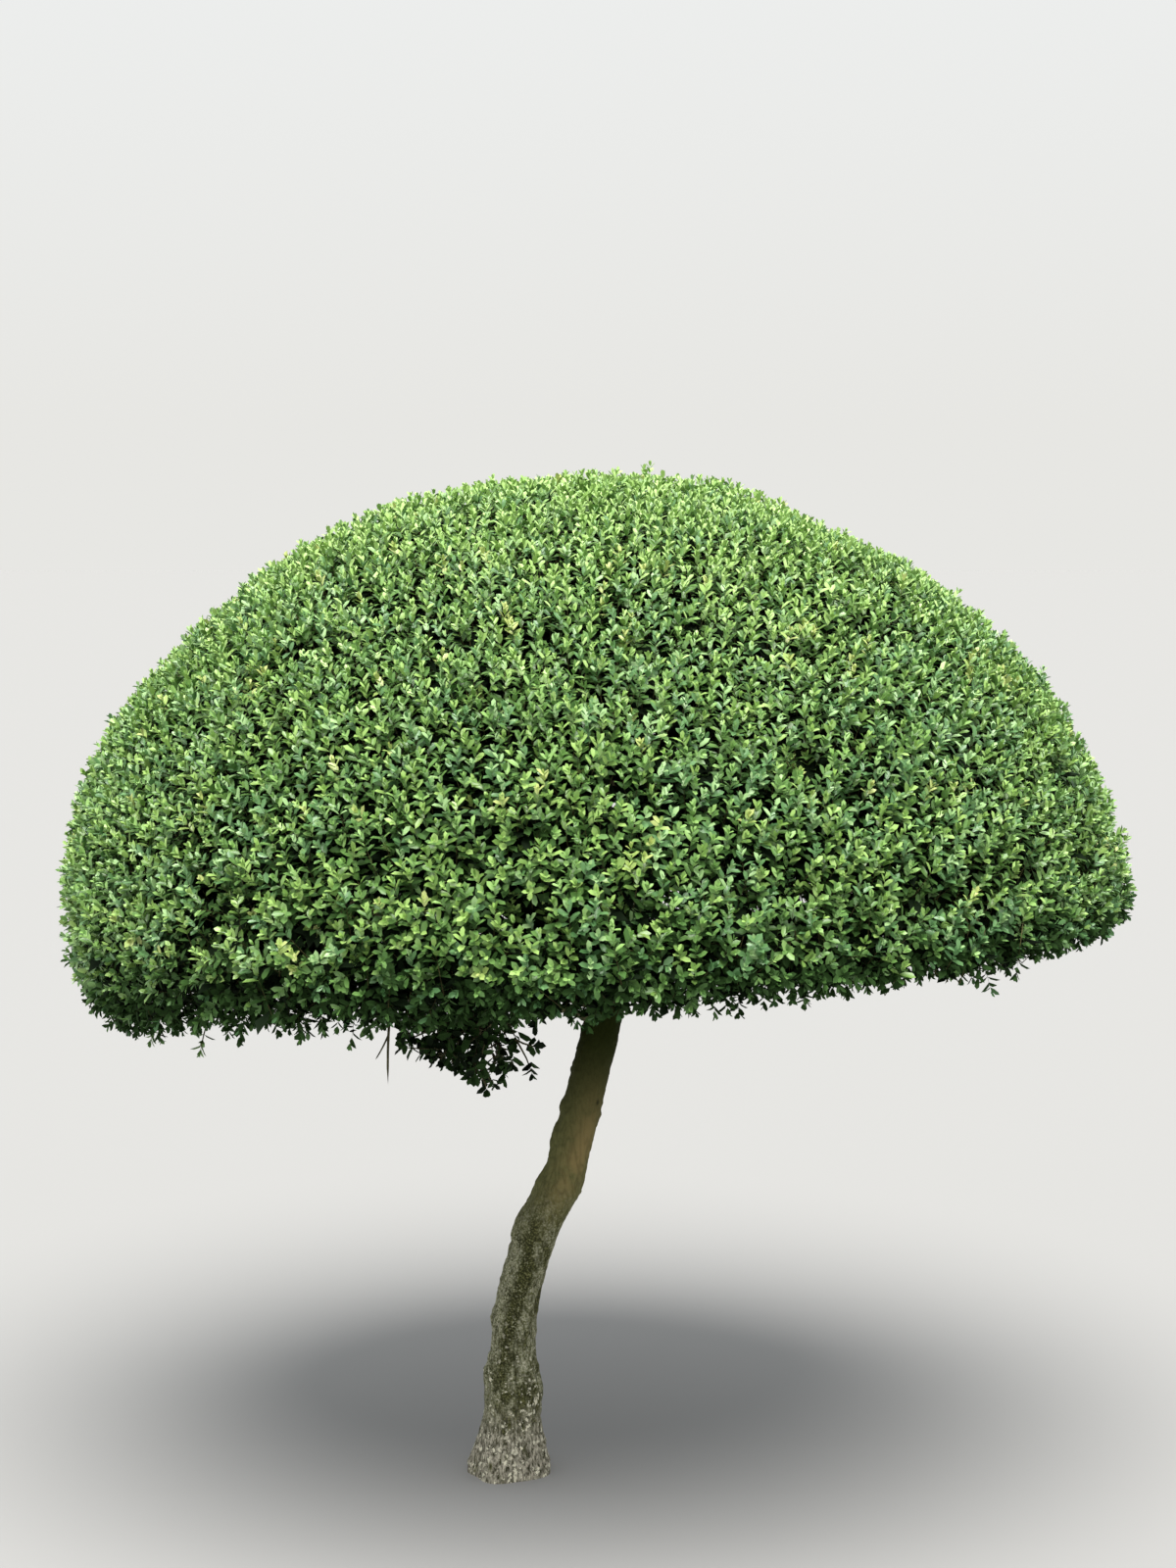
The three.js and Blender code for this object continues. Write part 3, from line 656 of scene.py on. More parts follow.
def twig_mesh(lines, radii, sides):
    """Corners and faces of closed tubes along lines (twigs, points, 3), each running to a point."""
    count, steps, _ = lines.shape
    way = unit(np.gradient(lines, axis=1))
    overall = unit(lines[:, -1] - lines[:, 0])
    reference = np.eye(3)[np.argmin(np.abs(overall), axis=1)][:, None, :]
    side = unit(np.cross(np.broadcast_to(reference, way.shape), way))
    other = np.cross(way, side)
    angle = np.arange(sides) * 2 * math.pi / sides
    ring = side[:, :, None, :] * np.cos(angle)[:, None] + other[:, :, None, :] * np.sin(angle)[:, None]
    walls = lines[:, :-1, None, :] + ring[:, :-1] * radii[:, :-1, None, None]
    corners = np.concatenate([walls.reshape(count, -1, 3), lines[:, -1:]], axis=1)
    here = np.arange(sides)
    after = (here + 1) % sides
    faces = [np.stack([np.zeros(sides - 2, int), here[2:], here[1:-1]], axis=1)]
    for step in range(steps - 2):
        low, high = step * sides, (step + 1) * sides
        faces.append(np.stack([low + here, low + after, high + after], axis=1))
        faces.append(np.stack([low + here, high + after, high + here], axis=1))
    last = (steps - 2) * sides
    tip = np.full(sides, (steps - 1) * sides)
    faces.append(np.stack([last + here, last + after, tip], axis=1))
    faces = np.vstack(faces)
    shift = np.arange(count)[:, None, None] * corners.shape[1]
    return corners.reshape(-1, 3), (faces[None] + shift).reshape(-1, 3)


def together(parts):
    """Several (corners, faces) as one."""
    corners, faces, start = [], [], 0
    for part_corners, part_faces in parts:
        corners.append(part_corners)
        faces.append(part_faces + start)
        start += len(part_corners)
    return np.vstack(corners), np.vstack(faces)


# A leaf as (reach along it, place across it, lift): foot, midrib, tip, then the two edges
LEAF_CORNERS = np.array(
    [
        (0.0, 0.0, 0.0),
        (0.55, 0.0, 0.0),
        (1.0, 0.0, 0.3),
        (0.3, 0.42, 0.85),
        (0.75, 0.46, 0.95),
        (0.3, -0.42, 0.85),
        (0.75, -0.46, 0.95),
    ]
)
LEAF_FACES = np.array([(0, 1, 3), (1, 4, 3), (1, 2, 4), (0, 5, 1), (1, 5, 6), (1, 6, 2)])
# A plainer leaf for the inside of the crown
INNER_LEAF_CORNERS = np.array([(0, 0, 0), (1, 0, 0.2), (0.55, 0.5, 1), (0.55, -0.5, 1), (0.5, 0, 0)], float)
INNER_LEAF_FACES = np.array([(0, 4, 2), (4, 1, 2), (0, 3, 4), (4, 3, 1)])


def leaf_mesh(leaves, shape, faces):
    """Corners and faces of many leaves from their feet, directions, upper sides and sizes."""
    along, above = leaves["along"], leaves["above"]
    above = unit(above - along * np.sum(above * along, axis=1, keepdims=True))
    across = np.cross(above, along)
    length, width = leaves["length"][:, None], leaves["width"][:, None]
    reach, aside, lift = shape[:, 0], shape[:, 1], shape[:, 2]
    rise = lift * width * LEAF_LIFT - leaves["curl"][:, None] * length * reach**2
    corners = (
        leaves["foot"][:, None, :]
        + along[:, None, :] * (reach * length)[..., None]
        + across[:, None, :] * (aside * width)[..., None]
        + above[:, None, :] * rise[..., None]
    )
    shift = np.arange(len(length))[:, None, None] * len(shape)
    return corners.reshape(-1, 3), (faces[None] + shift).reshape(-1, 3)


def tipped(way, angle, bearing):
    """Directions tipped away from others by angles, towards bearings round them."""
    angle, bearing = np.asarray(angle)[..., None], np.asarray(bearing)[..., None]
    reference = np.where(np.abs(way[..., 2:]) > 0.9, np.array([1.0, 0.0, 0.0]), UP)
    side = unit(np.cross(reference, way))
    other = np.cross(way, side)
    outward = side * np.cos(bearing) + other * np.sin(bearing)
    return way * np.cos(angle) + outward * np.sin(angle), outward


# Branching


def nearest_of(points, places):
    """The index of the nearest of the points to each place."""
    tree = KDTree(len(points))
    for index, point in enumerate(points.tolist()):
        tree.insert(point, index)
    tree.balance()
    return np.array([tree.find(place)[1] for place in places.tolist()])


def grow_branches(tips, parents, steps, radii, towards=None):
    """Curved branches from the parents' lines to each tip; gives lines and radii."""
    points = np.concatenate([line.reshape(-1, 3) for line in parents])
    ways = np.concatenate([unit(np.gradient(line, axis=1)).reshape(-1, 3) for line in parents])
    fork = trunk_axis(TRUNK["top"]) - UP * BRANCH["below_fork"]
    found = nearest_of(points, mix(tips, fork if towards is None else towards, BRANCH["start_lower"]))
    starts = points[found]
    gap = np.linalg.norm(tips - starts, axis=1, keepdims=True)
    outward = unit(tips - HEART + UP * BRANCH["below_heart"])
    leave = starts + ways[found] * gap * BRANCH["leave"]
    arrive = tips - outward * gap * BRANCH["arrive"]
    lines = bezier(starts, mix(leave, arrive, 0.5), tips, steps)
    wobble = random.normal(size=lines.shape) * gap[:, None] * BRANCH["wobble"]
    wobble[:, 0] = 0
    wobble[:, -1] = 0
    thick = np.broadcast_to(mix(*radii, np.linspace(0, 1, steps)), lines.shape[:2])
    return lines + wobble, thick * random.uniform(*BRANCH["thickness"], (len(tips), 1))


def outer_part(lines, bare):
    """Lines from a share of their length on, where finer growth may start."""
    return lines[:, int(lines.shape[1] * bare) :]


def shoot_ways(share, turn):
    """Directions of shoots, which lift on the dome and hang under the rim, and of the outline under them."""
    normal = crown_normal(share, turn)
    lift = SHOOT["lift"] * (1 - ramp(share, *LIFT_FADES))
    hang = SHOOT["hang"] * ramp(share, *HANG_GROWS)
    scatter = random.normal(size=normal.shape) * SHOOT["scatter"]
    return unit(normal + UP * (lift - hang)[:, None] + scatter), normal


def shoot_leaves(tips, ways, size, width, pairs, opened=1.0):
    """Leaf pairs set crosswise along shoots, from each tip down; opened widens their spread."""
    found = []
    count = len(tips)
    bearing = random.random(count) * 2 * math.pi
    for index, (down, length, spread) in enumerate(pairs):
        bearing = bearing + PAIR_TURN + random.normal(0, LEAF_CHANCE["pair_turn"], count)
        widest = np.minimum(spread * opened, LEAF_CHANCE["widest"])
        for half in (0, math.pi):
            kept = random.random(count) > MISSING_LEAVES
            angle = np.radians(widest + random.normal(0, LEAF_CHANCE["spread"], count))
            turned = bearing + half + random.normal(0, LEAF_CHANCE["turn"], count)
            along, outward = tipped(ways, angle, turned)
            above = ways * np.sin(angle)[:, None] - outward * np.cos(angle)[:, None]
            above = above + UP * LEAF_CHANCE["upward"] + random.normal(size=along.shape) * LEAF_CHANCE["roll"]
            long = length * size * random.uniform(*LEAF_CHANCE["length"], count)
            found.append(
                {
                    "foot": (tips - ways * (down * size)[:, None])[kept],
                    "along": along[kept],
                    "above": above[kept],
                    "length": long[kept],
                    "width": (long * width * random.uniform(*LEAF_CHANCE["width"], count))[kept],
                    "curl": random.normal(*LEAF_CURL, count)[kept],
                    "shoot": np.flatnonzero(kept),
                    "pair": np.full(kept.sum(), index),
                }
            )
    return joined_leaves(found)


def joined_leaves(kinds):
    return {key: np.concatenate([leaves[key] for leaves in kinds]) for key in kinds[0]}


def picked(leaves, kept):
    return {key: value[kept] for key, value in leaves.items()}


def limb_piece(name, line, radius_at, relief_size, sides, rings):
    """A bough or leader drawn along its line, with the bark's lumps on it."""
    way = unit(np.gradient(line, axis=0))
    shares = np.linspace(0, 1, len(line))
    reference = np.array([1.0, 0.0, 0.0]) if abs(way[0, 2]) > 0.9 else UP
    side = unit(np.cross(reference, way))
    other = np.cross(way, side)

    def place_of(share, angle, radial):
        centre = np.stack([np.interp(share, shares, line[:, i]) for i in range(3)], axis=1)
        across = np.stack([np.interp(share, shares, side[:, i]) for i in range(3)], axis=1)
        upper = np.stack([np.interp(share, shares, other[:, i]) for i in range(3)], axis=1)
        outward = across * np.cos(angle)[:, None] + upper * np.sin(angle)[:, None]
        even = radius_at(share)
        lumps = noise_at(centre + outward * even[:, None], relief_size, 3.1)
        return centre + outward * (radial * even * (1 + LIMB_UNEVEN * lumps))[:, None]

    return turned_limb(name, sides, rings, place_of)


def knob_relief(height, angle):
    """Small knobs of the bark, thickest on the left, where old shoots were cut."""
    count = KNOBS["count"]
    lefts = random.random(count) < KNOBS["left_share"]
    left_turns = random.normal(math.pi, KNOBS["left_spread"], count)
    turns = np.where(lefts, left_turns, random.random(count) * 2 * math.pi)
    heights = random.random(count) * TRUNK["neck"]
    girth = trunk_girth(height)
    relief = np.zeros_like(height)
    outs = random.uniform(*KNOBS["out"], count)
    spreads = random.uniform(*KNOBS["spread"], count)
    burrs = [(math.radians(turn), at, out, spread) for turn, at, out, spread in BURRS]
    for turn, at, out, spread in [*zip(turns, heights, outs, spreads), *burrs]:
        around = angle_between(angle, turn) * girth
        relief += out * bell(np.hypot(around, height - at), spread)
    return relief


def bark_relief(surface, height, angle):
    """How far the trunk's bark stands over its even surface, in millimetres, and how cracked it is."""
    crack = bell(noise_at(surface, BARK_RELIEF["crack_size"]), BARK_RELIEF["crack_width"])
    grit = BARK_RELIEF["grit_out"] * noise_at(surface, BARK_RELIEF["grit_size"], 5.7)
    lump = BARK_RELIEF["lump_out"] * noise_at(surface, BARK_RELIEF["lump_size"], 9.2)
    bump = BARK_RELIEF["bump_out"] * noise_at(surface, BARK_RELIEF["bump_size"], 2.4)
    rough = mix(1.0, BARK_RELIEF["rough_at_foot"], bell(height, BARK_RELIEF["rough_height"]))
    relief = (grit - BARK_RELIEF["crack_deep"] * crack + bump) * rough + lump
    return relief + knob_relief(height, angle), crack


def bark_patch(height, angle, patch):
    """How strongly a patch of another colour shows at heights and angles on the trunk."""
    turn, wide, at, tall = patch
    wander, over = PATCH_WANDER
    middle = math.radians(turn) + wander * np.sin(height / over)
    return bell(angle_between(angle, middle), math.radians(wide)) * bell(height - at, tall)


def trunk_piece():
    """The trunk with its bark's relief; marks tell the finish where its patches and cracks are."""
    marks = {}

    def place_of(share, angle, radial):
        height = TRUNK["top"] * mix(share, share**2, TRUNK["foot_steps"])
        x, y, upright = trunk_at(height)
        radius = trunk_radius(height, angle)
        surface = np.stack([x + radius * np.cos(angle), y + radius * np.sin(angle), height], axis=1)
        relief, marks["crack"] = bark_relief(surface, height, angle)
        marks["streak"] = bark_patch(height, angle, STREAK)
        marks["tan_and_sunlit_side"] = bark_patch(height, angle, TAN_AND_SUNLIT_SIDE)
        marks["silver_lichen_and_rim_light"] = bark_patch(height, angle, SILVER_LICHEN_AND_RIM_LIGHT)
        marks["knot_hole_shade"] = bark_patch(height, angle, KNOT_HOLE_SHADE)
        radius = radial * (radius + relief * ramp(height, 0, BARK_RELIEF["even_foot"]))
        return np.stack([x + radius * np.cos(angle) / upright, y + radius * np.sin(angle), height], axis=1)

    piece = turned_limb("trunk_bark", TRUNK_SIDES, TRUNK_RINGS, place_of)
    for name, values in marks.items():
        piece.data.attributes.new(name, "FLOAT", "POINT").data.foreach_set("value", values)
    return piece


# Materials


def new_material(name):
    material = bpy.data.materials.new(name)
    material.use_nodes = True
    material.node_tree.nodes.clear()
    return material


def add_node(material, kind, sockets=(), **settings):
    node = material.node_tree.nodes.new(kind)
    for key, value in settings.items():
        setattr(node, key, value)
    for key, value in dict(sockets).items():
        if isinstance(value, bpy.types.NodeSocket):
            material.node_tree.links.new(value, node.inputs[key])
        else:
            node.inputs[key].default_value = value
    return node


def noise_socket(material, place, scale, detail, rough):
    sockets = {"Vector": place, "Scale": scale, "Detail": detail, "Roughness": rough}
    return add_node(material, "ShaderNodeTexNoise", sockets).outputs["Fac"]


def ramp_socket(material, factor, stops):
    """A colour ramp: stops are (place, colour)."""
    node = add_node(material, "ShaderNodeValToRGB", {"Fac": factor})
    elements = node.color_ramp.elements
    while len(elements) < len(stops):
        elements.new(0.5)
    for element, (place, colour) in zip(elements, stops):
        element.position = place
        element.color = (*colour, 1)
    return node.outputs["Color"]


def range_socket(material, value, low, high):
    """0 below low, 1 above high, soft between."""
    sockets = {"Value": value, "From Min": low, "From Max": high}
    node = add_node(material, "ShaderNodeMapRange", sockets, interpolation_type="SMOOTHSTEP")
    return node.outputs["Result"]


def times_socket(material, a, b):
    return add_node(material, "ShaderNodeMath", {0: a, 1: b}, operation="MULTIPLY").outputs["Value"]


def blend_colours(material, factor, a, b):
    node = add_node(material, "ShaderNodeMix", data_type="RGBA")
    links = material.node_tree.links
    for socket, value in ((node.inputs[0], factor), (node.inputs[6], a), (node.inputs[7], b)):
        if isinstance(value, bpy.types.NodeSocket):
            links.new(value, socket)
        elif isinstance(value, tuple):
            socket.default_value = (*value, 1)
        else:
            socket.default_value = value
    return node.outputs[2]


def stretched_place(material, scale):
    place = add_node(material, "ShaderNodeTexCoord").outputs["Object"]
    return add_node(material, "ShaderNodeMapping", {"Vector": place, "Scale": scale}).outputs["Vector"]


def finish_material(material, colour, roughness, specular, relief=None):
    """Ends a material in its shader; relief is a height's socket, its depth in metres and its strength."""
    sockets = {"Base Color": colour, "Roughness": roughness, "Specular IOR Level": specular}
    if relief is not None:
        height, depth, strength = relief
        bump = {"Height": height, "Distance": depth, "Strength": strength}
        sockets["Normal"] = add_node(material, "ShaderNodeBump", bump).outputs["Normal"]
    shader = add_node(material, "ShaderNodeBsdfPrincipled", sockets)
    add_node(material, "ShaderNodeOutputMaterial", {"Surface": shader.outputs["BSDF"]})
    return material


def mark_socket(material, name):
    """A value that the mesh carries for each of its corners."""
    return add_node(material, "ShaderNodeAttribute", attribute_name=name).outputs["Fac"]


BARK_DARK = (0.055, 0.058, 0.02)
BARK_OLIVE = (0.115, 0.118, 0.045)
BARK_MOSS = (0.155, 0.155, 0.062)
BARK_SILVER = (0.29, 0.29, 0.19)
BARK_PALE = (0.46, 0.45, 0.33)
# Tan of the right side: bark colour with painted sunlight
BARK_TAN_AND_SUNLIGHT = (0.27, 0.205, 0.085)
BARK_SOIL = (0.17, 0.155, 0.115)
BARK_STRAW = (0.46, 0.43, 0.34)
# Near-black of the bark's pits, and of the painted shade in its cracks and knot hole
BARK_PIT_AND_SHADE = (0.026, 0.026, 0.013)
BARK_LICHEN = (0.7, 0.67, 0.52)
# Near-black olive: algae and the crown's painted shade on the bark
BARK_ALGAE_AND_SHADE = (0.014, 0.019, 0.003)
# Heights in metres over which each look of the bark comes in, from nothing to full
ROUGH_BARK = (0.47, 0.34)
SHADED_CRACKS = (0.75, 0.2)
FLECKED_BARK = (0.3, 0.12)
STRAW_FOOT = (0.13, 0.045)
CRUSTED_FOOT = (0.09, 0.05)
ALGAE_AND_SHADE_UNDER_CROWN = (0.46, 0.7)


def trunk_bark_material():
    """Smooth olive bark with a tan side that is partly painted sunlight, a silver side partly painted rim
    light, dark under the crown with algae and painted shade, and rough and pale at the foot; its cracks and a
    knot's hole hold painted shade.
    """
    bark = new_material("trunk_bark")
    place = stretched_place(bark, (1, 1, 1))
    upright = stretched_place(bark, (1, 1, 0.6))
    fibrous = stretched_place(bark, (1, 1, 0.3))
    height = add_node(bark, "ShaderNodeSeparateXYZ", {"Vector": place}).outputs["Z"]
    grain = noise_socket(bark, upright, 260, 5, 0.75)
    smooth = ramp_socket(bark, grain, [(0.38, BARK_OLIVE), (0.62, BARK_MOSS)])
    patch = noise_socket(bark, place, 26, 3, 0.6)
    # Tan patches on the right side: bark colour and painted sunlight
    tan_and_sunlit = times_socket(bark, mark_socket(bark, "tan_and_sunlit_side"), range_socket(bark, patch, 0.25, 0.5))
    smooth = blend_colours(bark, tan_and_sunlit, smooth, BARK_TAN_AND_SUNLIGHT)
    granule = noise_socket(bark, place, 330, 3, 0.65)
    dark = ramp_socket(bark, granule, [(0.38, BARK_PIT_AND_SHADE), (0.5, BARK_DARK), (0.6, BARK_MOSS)])
    light = ramp_socket(bark, granule, [(0.38, BARK_OLIVE), (0.52, BARK_SILVER), (0.64, BARK_PALE)])
    broad = noise_socket(bark, upright, 48, 5, 0.65)
    rough = blend_colours(bark, range_socket(bark, broad, 0.4, 0.6), dark, light)
    # Silver on the left side: grey lichen with painted rim light
    silver_and_rim_light = times_socket(bark, mark_socket(bark, "silver_lichen_and_rim_light"), range_socket(bark, granule, 0.36, 0.5))
    rough = blend_colours(bark, silver_and_rim_light, rough, light)
    tone = blend_colours(bark, range_socket(bark, height, *ROUGH_BARK), smooth, rough)
    streak = range_socket(bark, mark_socket(bark, "streak"), 0.1, 0.7)
    streak = times_socket(bark, streak, range_socket(bark, granule, 0.7, 0.54))
    tone = blend_colours(bark, streak, tone, dark)
    fibre = noise_socket(bark, fibrous, 240, 6, 0.75)
    straw = ramp_socket(bark, fibre, [(0.4, BARK_PIT_AND_SHADE), (0.46, BARK_SOIL), (0.58, BARK_STRAW)])
    foot = times_socket(bark, range_socket(bark, height, *STRAW_FOOT), range_socket(bark, broad, 0.3, 0.5))
    tone = blend_colours(bark, foot, tone, straw)
    # The cracks are darkened with painted shade, more towards the foot
    crack = times_socket(bark, mark_socket(bark, "crack"), range_socket(bark, height, *SHADED_CRACKS))
    tone = blend_colours(bark, times_socket(bark, crack, 0.6), tone, BARK_PIT_AND_SHADE)
    fleck = range_socket(bark, noise_socket(bark, place, 110, 3, 0.65), 0.6, 0.64)
    fleck = times_socket(bark, range_socket(bark, height, *FLECKED_BARK), fleck)
    tone = blend_colours(bark, fleck, tone, BARK_LICHEN)
    crust = range_socket(bark, noise_socket(bark, place, 62, 4, 0.7), 0.57, 0.62)
    crust = times_socket(bark, range_socket(bark, height, *CRUSTED_FOOT), crust)
    tone = blend_colours(bark, times_socket(bark, crust, 0.8), tone, BARK_LICHEN)
    # Painted shade in the knot's hole
    tone = blend_colours(bark, mark_socket(bark, "knot_hole_shade"), tone, BARK_PIT_AND_SHADE)
    # Under the crown the bark goes near-black: algae and painted shade
    algae_and_shade = range_socket(bark, height, *ALGAE_AND_SHADE_UNDER_CROWN)
    algae_and_shade = times_socket(bark, algae_and_shade, range_socket(bark, patch, 0.0, 0.42))
    tone = blend_colours(bark, algae_and_shade, tone, BARK_ALGAE_AND_SHADE)
    relief = blend_colours(bark, 0.4, granule, broad)
    return finish_material(bark, tone, 0.88, 0.06, (relief, 0.0013, 0.9))


def limb_material(name, dark, light):
    wood = new_material(name)
    place = stretched_place(wood, (1, 1, 1))
    grain = noise_socket(wood, place, 120, 4, 0.6)
    tone = ramp_socket(wood, grain, [(0.34, dark), (0.66, light)])
    return finish_material(wood, tone, 0.85, 0.1, (grain, 0.0006, 0.6))


def leaf_material(name, colour, roughness, specular):
    return finish_material(new_material(name), (*colour, 1), roughness, specular)


bark_material = trunk_bark_material()
bough_material = limb_material("bough_bark", (0.032, 0.03, 0.014), (0.13, 0.12, 0.065))
twig_material = limb_material("twig_bark", (0.035, 0.034, 0.014), (0.11, 0.1, 0.04))

# Leaf tints, as plain base colours
TINTS = {
    # Near-black tint: painted shade for the leaves deep in the crown, under the rim and in the tuft
    "inner_shade": (0.0055, 0.012, 0.004),
    "shade": (0.021, 0.05, 0.012),
    "deep": (0.064, 0.145, 0.034),
    "deep_blue": (0.058, 0.145, 0.047),
    "mid": (0.128, 0.255, 0.064),
    "mid_warm": (0.163, 0.29, 0.064),
    "mid_blue": (0.116, 0.25, 0.088),
    "fresh": (0.265, 0.45, 0.13),
    "fresh_warm": (0.33, 0.51, 0.14),
    "pale": (0.32, 0.5, 0.21),
    "lime": (0.38, 0.52, 0.145),
    "yellow": (0.48, 0.55, 0.19),
    # Painted light: the tint that the top's sprays step up to
    "top_light": (0.43, 0.62, 0.21),
}
# Each spray takes one of these runs of tints, from its shaded leaves to its tip and, last, the painted light
# of the crown's top
RUNS = [
    ("shade", "deep", "mid", "mid", "fresh", "top_light"),
    ("shade", "deep", "mid", "mid_warm", "fresh_warm", "top_light"),
    ("shade", "deep_blue", "mid_blue", "mid_blue", "pale", "top_light"),
    ("deep", "mid", "mid_warm", "lime", "yellow", "yellow"),
]
# Roughness and shine of the darker leaves; the others have those of a young leaf
YOUNG_GLOSS = (0.38, 0.62)
DULL = {"inner_shade": (0.75, 0.08), "shade": (0.75, 0.08), "deep": (0.5, 0.3), "deep_blue": (0.5, 0.3)}
tint_materials = {
    name: leaf_material(f"leaf_{name}", colour, *DULL.get(name, YOUNG_GLOSS))
    for name, colour in TINTS.items()
}
tint_names = list(TINTS)
# Where the shade under the rim starts to deepen the tints, as shares of the outline, and how softly
SHADE_FROM = 0.485
SHADE_LEFT = 0.062  # how much later it starts on the left
SHADE_RIGHT = 0.03  # how much earlier it starts on the right
SHADE_FRONT = 0.043  # how much earlier it starts in front
SHADE_STEP = 0.028
SHADE_BLUR = 0.03
# The top's lighter step is painted light
LIGHT_FROM = 0.12  # share of the outline up to which all sprays of the top are a step lighter
LIGHT_UNTIL = 0.33  # share past which none is
PAIR_STEPS = np.array([4, 4, 3, 3, 2])  # place in its run of tints for each leaf pair from the tip down
# Patches of bluer and of yellower green: their size, strength and limits, and how often a spray is yellow
HUE = {
    "patch_size": 190.0,
    "patch": 0.35,
    "chance": 0.32,
    "blue_over": 0.22,
    "warm_under": -0.1,
    "yellow_size": 70.0,
    "yellow_over": 0.42,
    "yellow_share": (0.014, 0.26),
}


def deal_tints(leaves, place, share, turn):
    """The tint of each leaf, by its spray and its pair, with patches of bluer and yellower green.

    The sprays on the top take a step of painted light, and those that turn down under the rim are deepened by
    painted shade."""
    count = len(place)
    rightward, forward = np.cos(turn), -np.sin(turn)
    # Painted shade: sprays under the rim step down to darker tints
    start = SHADE_FROM - np.where(rightward < 0, SHADE_LEFT, SHADE_RIGHT) * rightward
    start = start - SHADE_FRONT * np.maximum(forward, 0)
    low = np.clip((share + random.normal(0, SHADE_BLUR, count) - start) / SHADE_STEP, 0, 4).astype(int)
    lit = (LIGHT_UNTIL - share) / (LIGHT_UNTIL - LIGHT_FROM)
    patch = HUE["patch"] * noise_at(place, HUE["patch_size"], 4.4) + random.normal(0, HUE["chance"], count)
    run = np.where(patch > HUE["blue_over"], 2, np.where(patch < HUE["warm_under"], 1, 0))
    yellowing = noise_at(place, HUE["yellow_size"], 12.3) > HUE["yellow_over"]
    run = np.where(random.random(count) < mix(*HUE["yellow_share"], yellowing), 3, run)
    shoot = leaves["shoot"]
    step = PAIR_STEPS[leaves["pair"]] + random.integers(-1, 2, len(shoot)) - low[shoot]
    # Sprays of the top step up one tint, as painted light
    step = np.clip(step, 0, 4) + (random.random(len(shoot)) < lit[shoot])
    table = np.array([[tint_names.index(tint) for tint in tints] for tints in RUNS])
    return table[run[shoot], step]


# Growing the plant


def place_piece(piece, material, node):
    """Gives a piece its finish, and lets it ride on the plant in the place of a solid."""
    piece.data.materials.append(material)
    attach(piece, "root")
    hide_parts(node)


def place_limbs():
    """Trunk, boughs, leader and low bough; gives the lines that the crown's branches start from."""
    place_piece(trunk_piece(), bark_material, "trunk")
    lines = []
    for name, turn, lowest, radius, reach, rise in BOUGHS:
        line = bough_line(turn, lowest, reach, rise)
        taper = partial(bough_taper, radius)
        bough = limb_piece(f"{name}_bark", line, taper, BOUGH_LUMPS, BOUGH_SIDES, BOUGH_RINGS)
        place_piece(bough, bough_material, name)
        lines.append(line[None])
    line = trunk_axis(TRUNK["top"]) + LEADER_LEAN * np.linspace(LEADER_FROM, 1, LIMB_STEPS)[:, None]
    leader = limb_piece("leader_bark", line, leader_radius, LEADER_LUMPS, LEADER_SIDES, BOUGH_RINGS)
    place_piece(leader, bough_material, "leader")
    lines.append(line[None])
    sides, rings = TUFT["bough_sides"], TUFT["bough_rings"]
    line = low_bough_line()
    bough = limb_piece("low_bough_bark", line, low_bough_radius, TUFT["bough_lumps"], sides, rings)
    place_piece(bough, bough_material, "low_bough")
    return lines


def grow_branch_orders(limb_lines):
    """The crown's branches, order by order: their meshes and their lines."""
    parents = [outer_part(line, BRANCH["limb_bare"]) for line in limb_lines]
    meshes = []
    orders = []
    for order in BRANCHES:
        spacing = order["spacing"]
        _, _, tips = crown_sites(BRANCH["tries"], order["last_share"], order["inset"], spacing, spacing)
        lines, radii = grow_branches(tips, parents, order["steps"], order["radii"])
        meshes.append(twig_mesh(lines, radii, order["sides"]))
        parents = [outer_part(lines, BRANCH["bare"])]
        orders.append(lines)
    return meshes, orders


def shoot_heights(share, sites):
    """How far the tips of shoots stand over the outline: uneven, with gaps, hollows and some proud ones."""
    depth = SHOOT["clump_depth"] * noise_at(sites, SHOOT["clump"], 7.7) - SHOOT["sunk"]
    depth = depth + random.normal(0, mix(*SHOOT["ragged"], ramp(share, *MORE_RAGGED)))
    gappy = ramp(share, *MORE_GAPS)
    gap = noise_at(sites, SHOOT["gap_size"], 1.9) < mix(*SHOOT["gap_under"], gappy)
    depth = depth - mix(*SHOOT["gap_depth"], gappy) * gap
    for turn, at, deep, wide in HOLLOWS:
        middle = crown_point(np.array(at), np.array(math.radians(turn)))
        depth = depth - deep * bell(np.linalg.norm(sites - middle, axis=1), wide)
    proud = random.random(len(sites)) < SHOOT["proud_share"]
    return depth + random.uniform(*SHOOT["proud"], len(sites)) * proud


def over_rim(points, clear):
    """Whether points lie at least so far over the rim."""
    bearing = np.arctan2(points[:, 1] - HEART[1], points[:, 0] - HEART[0])
    return points[:, 2] > rim_height(bearing) + clear


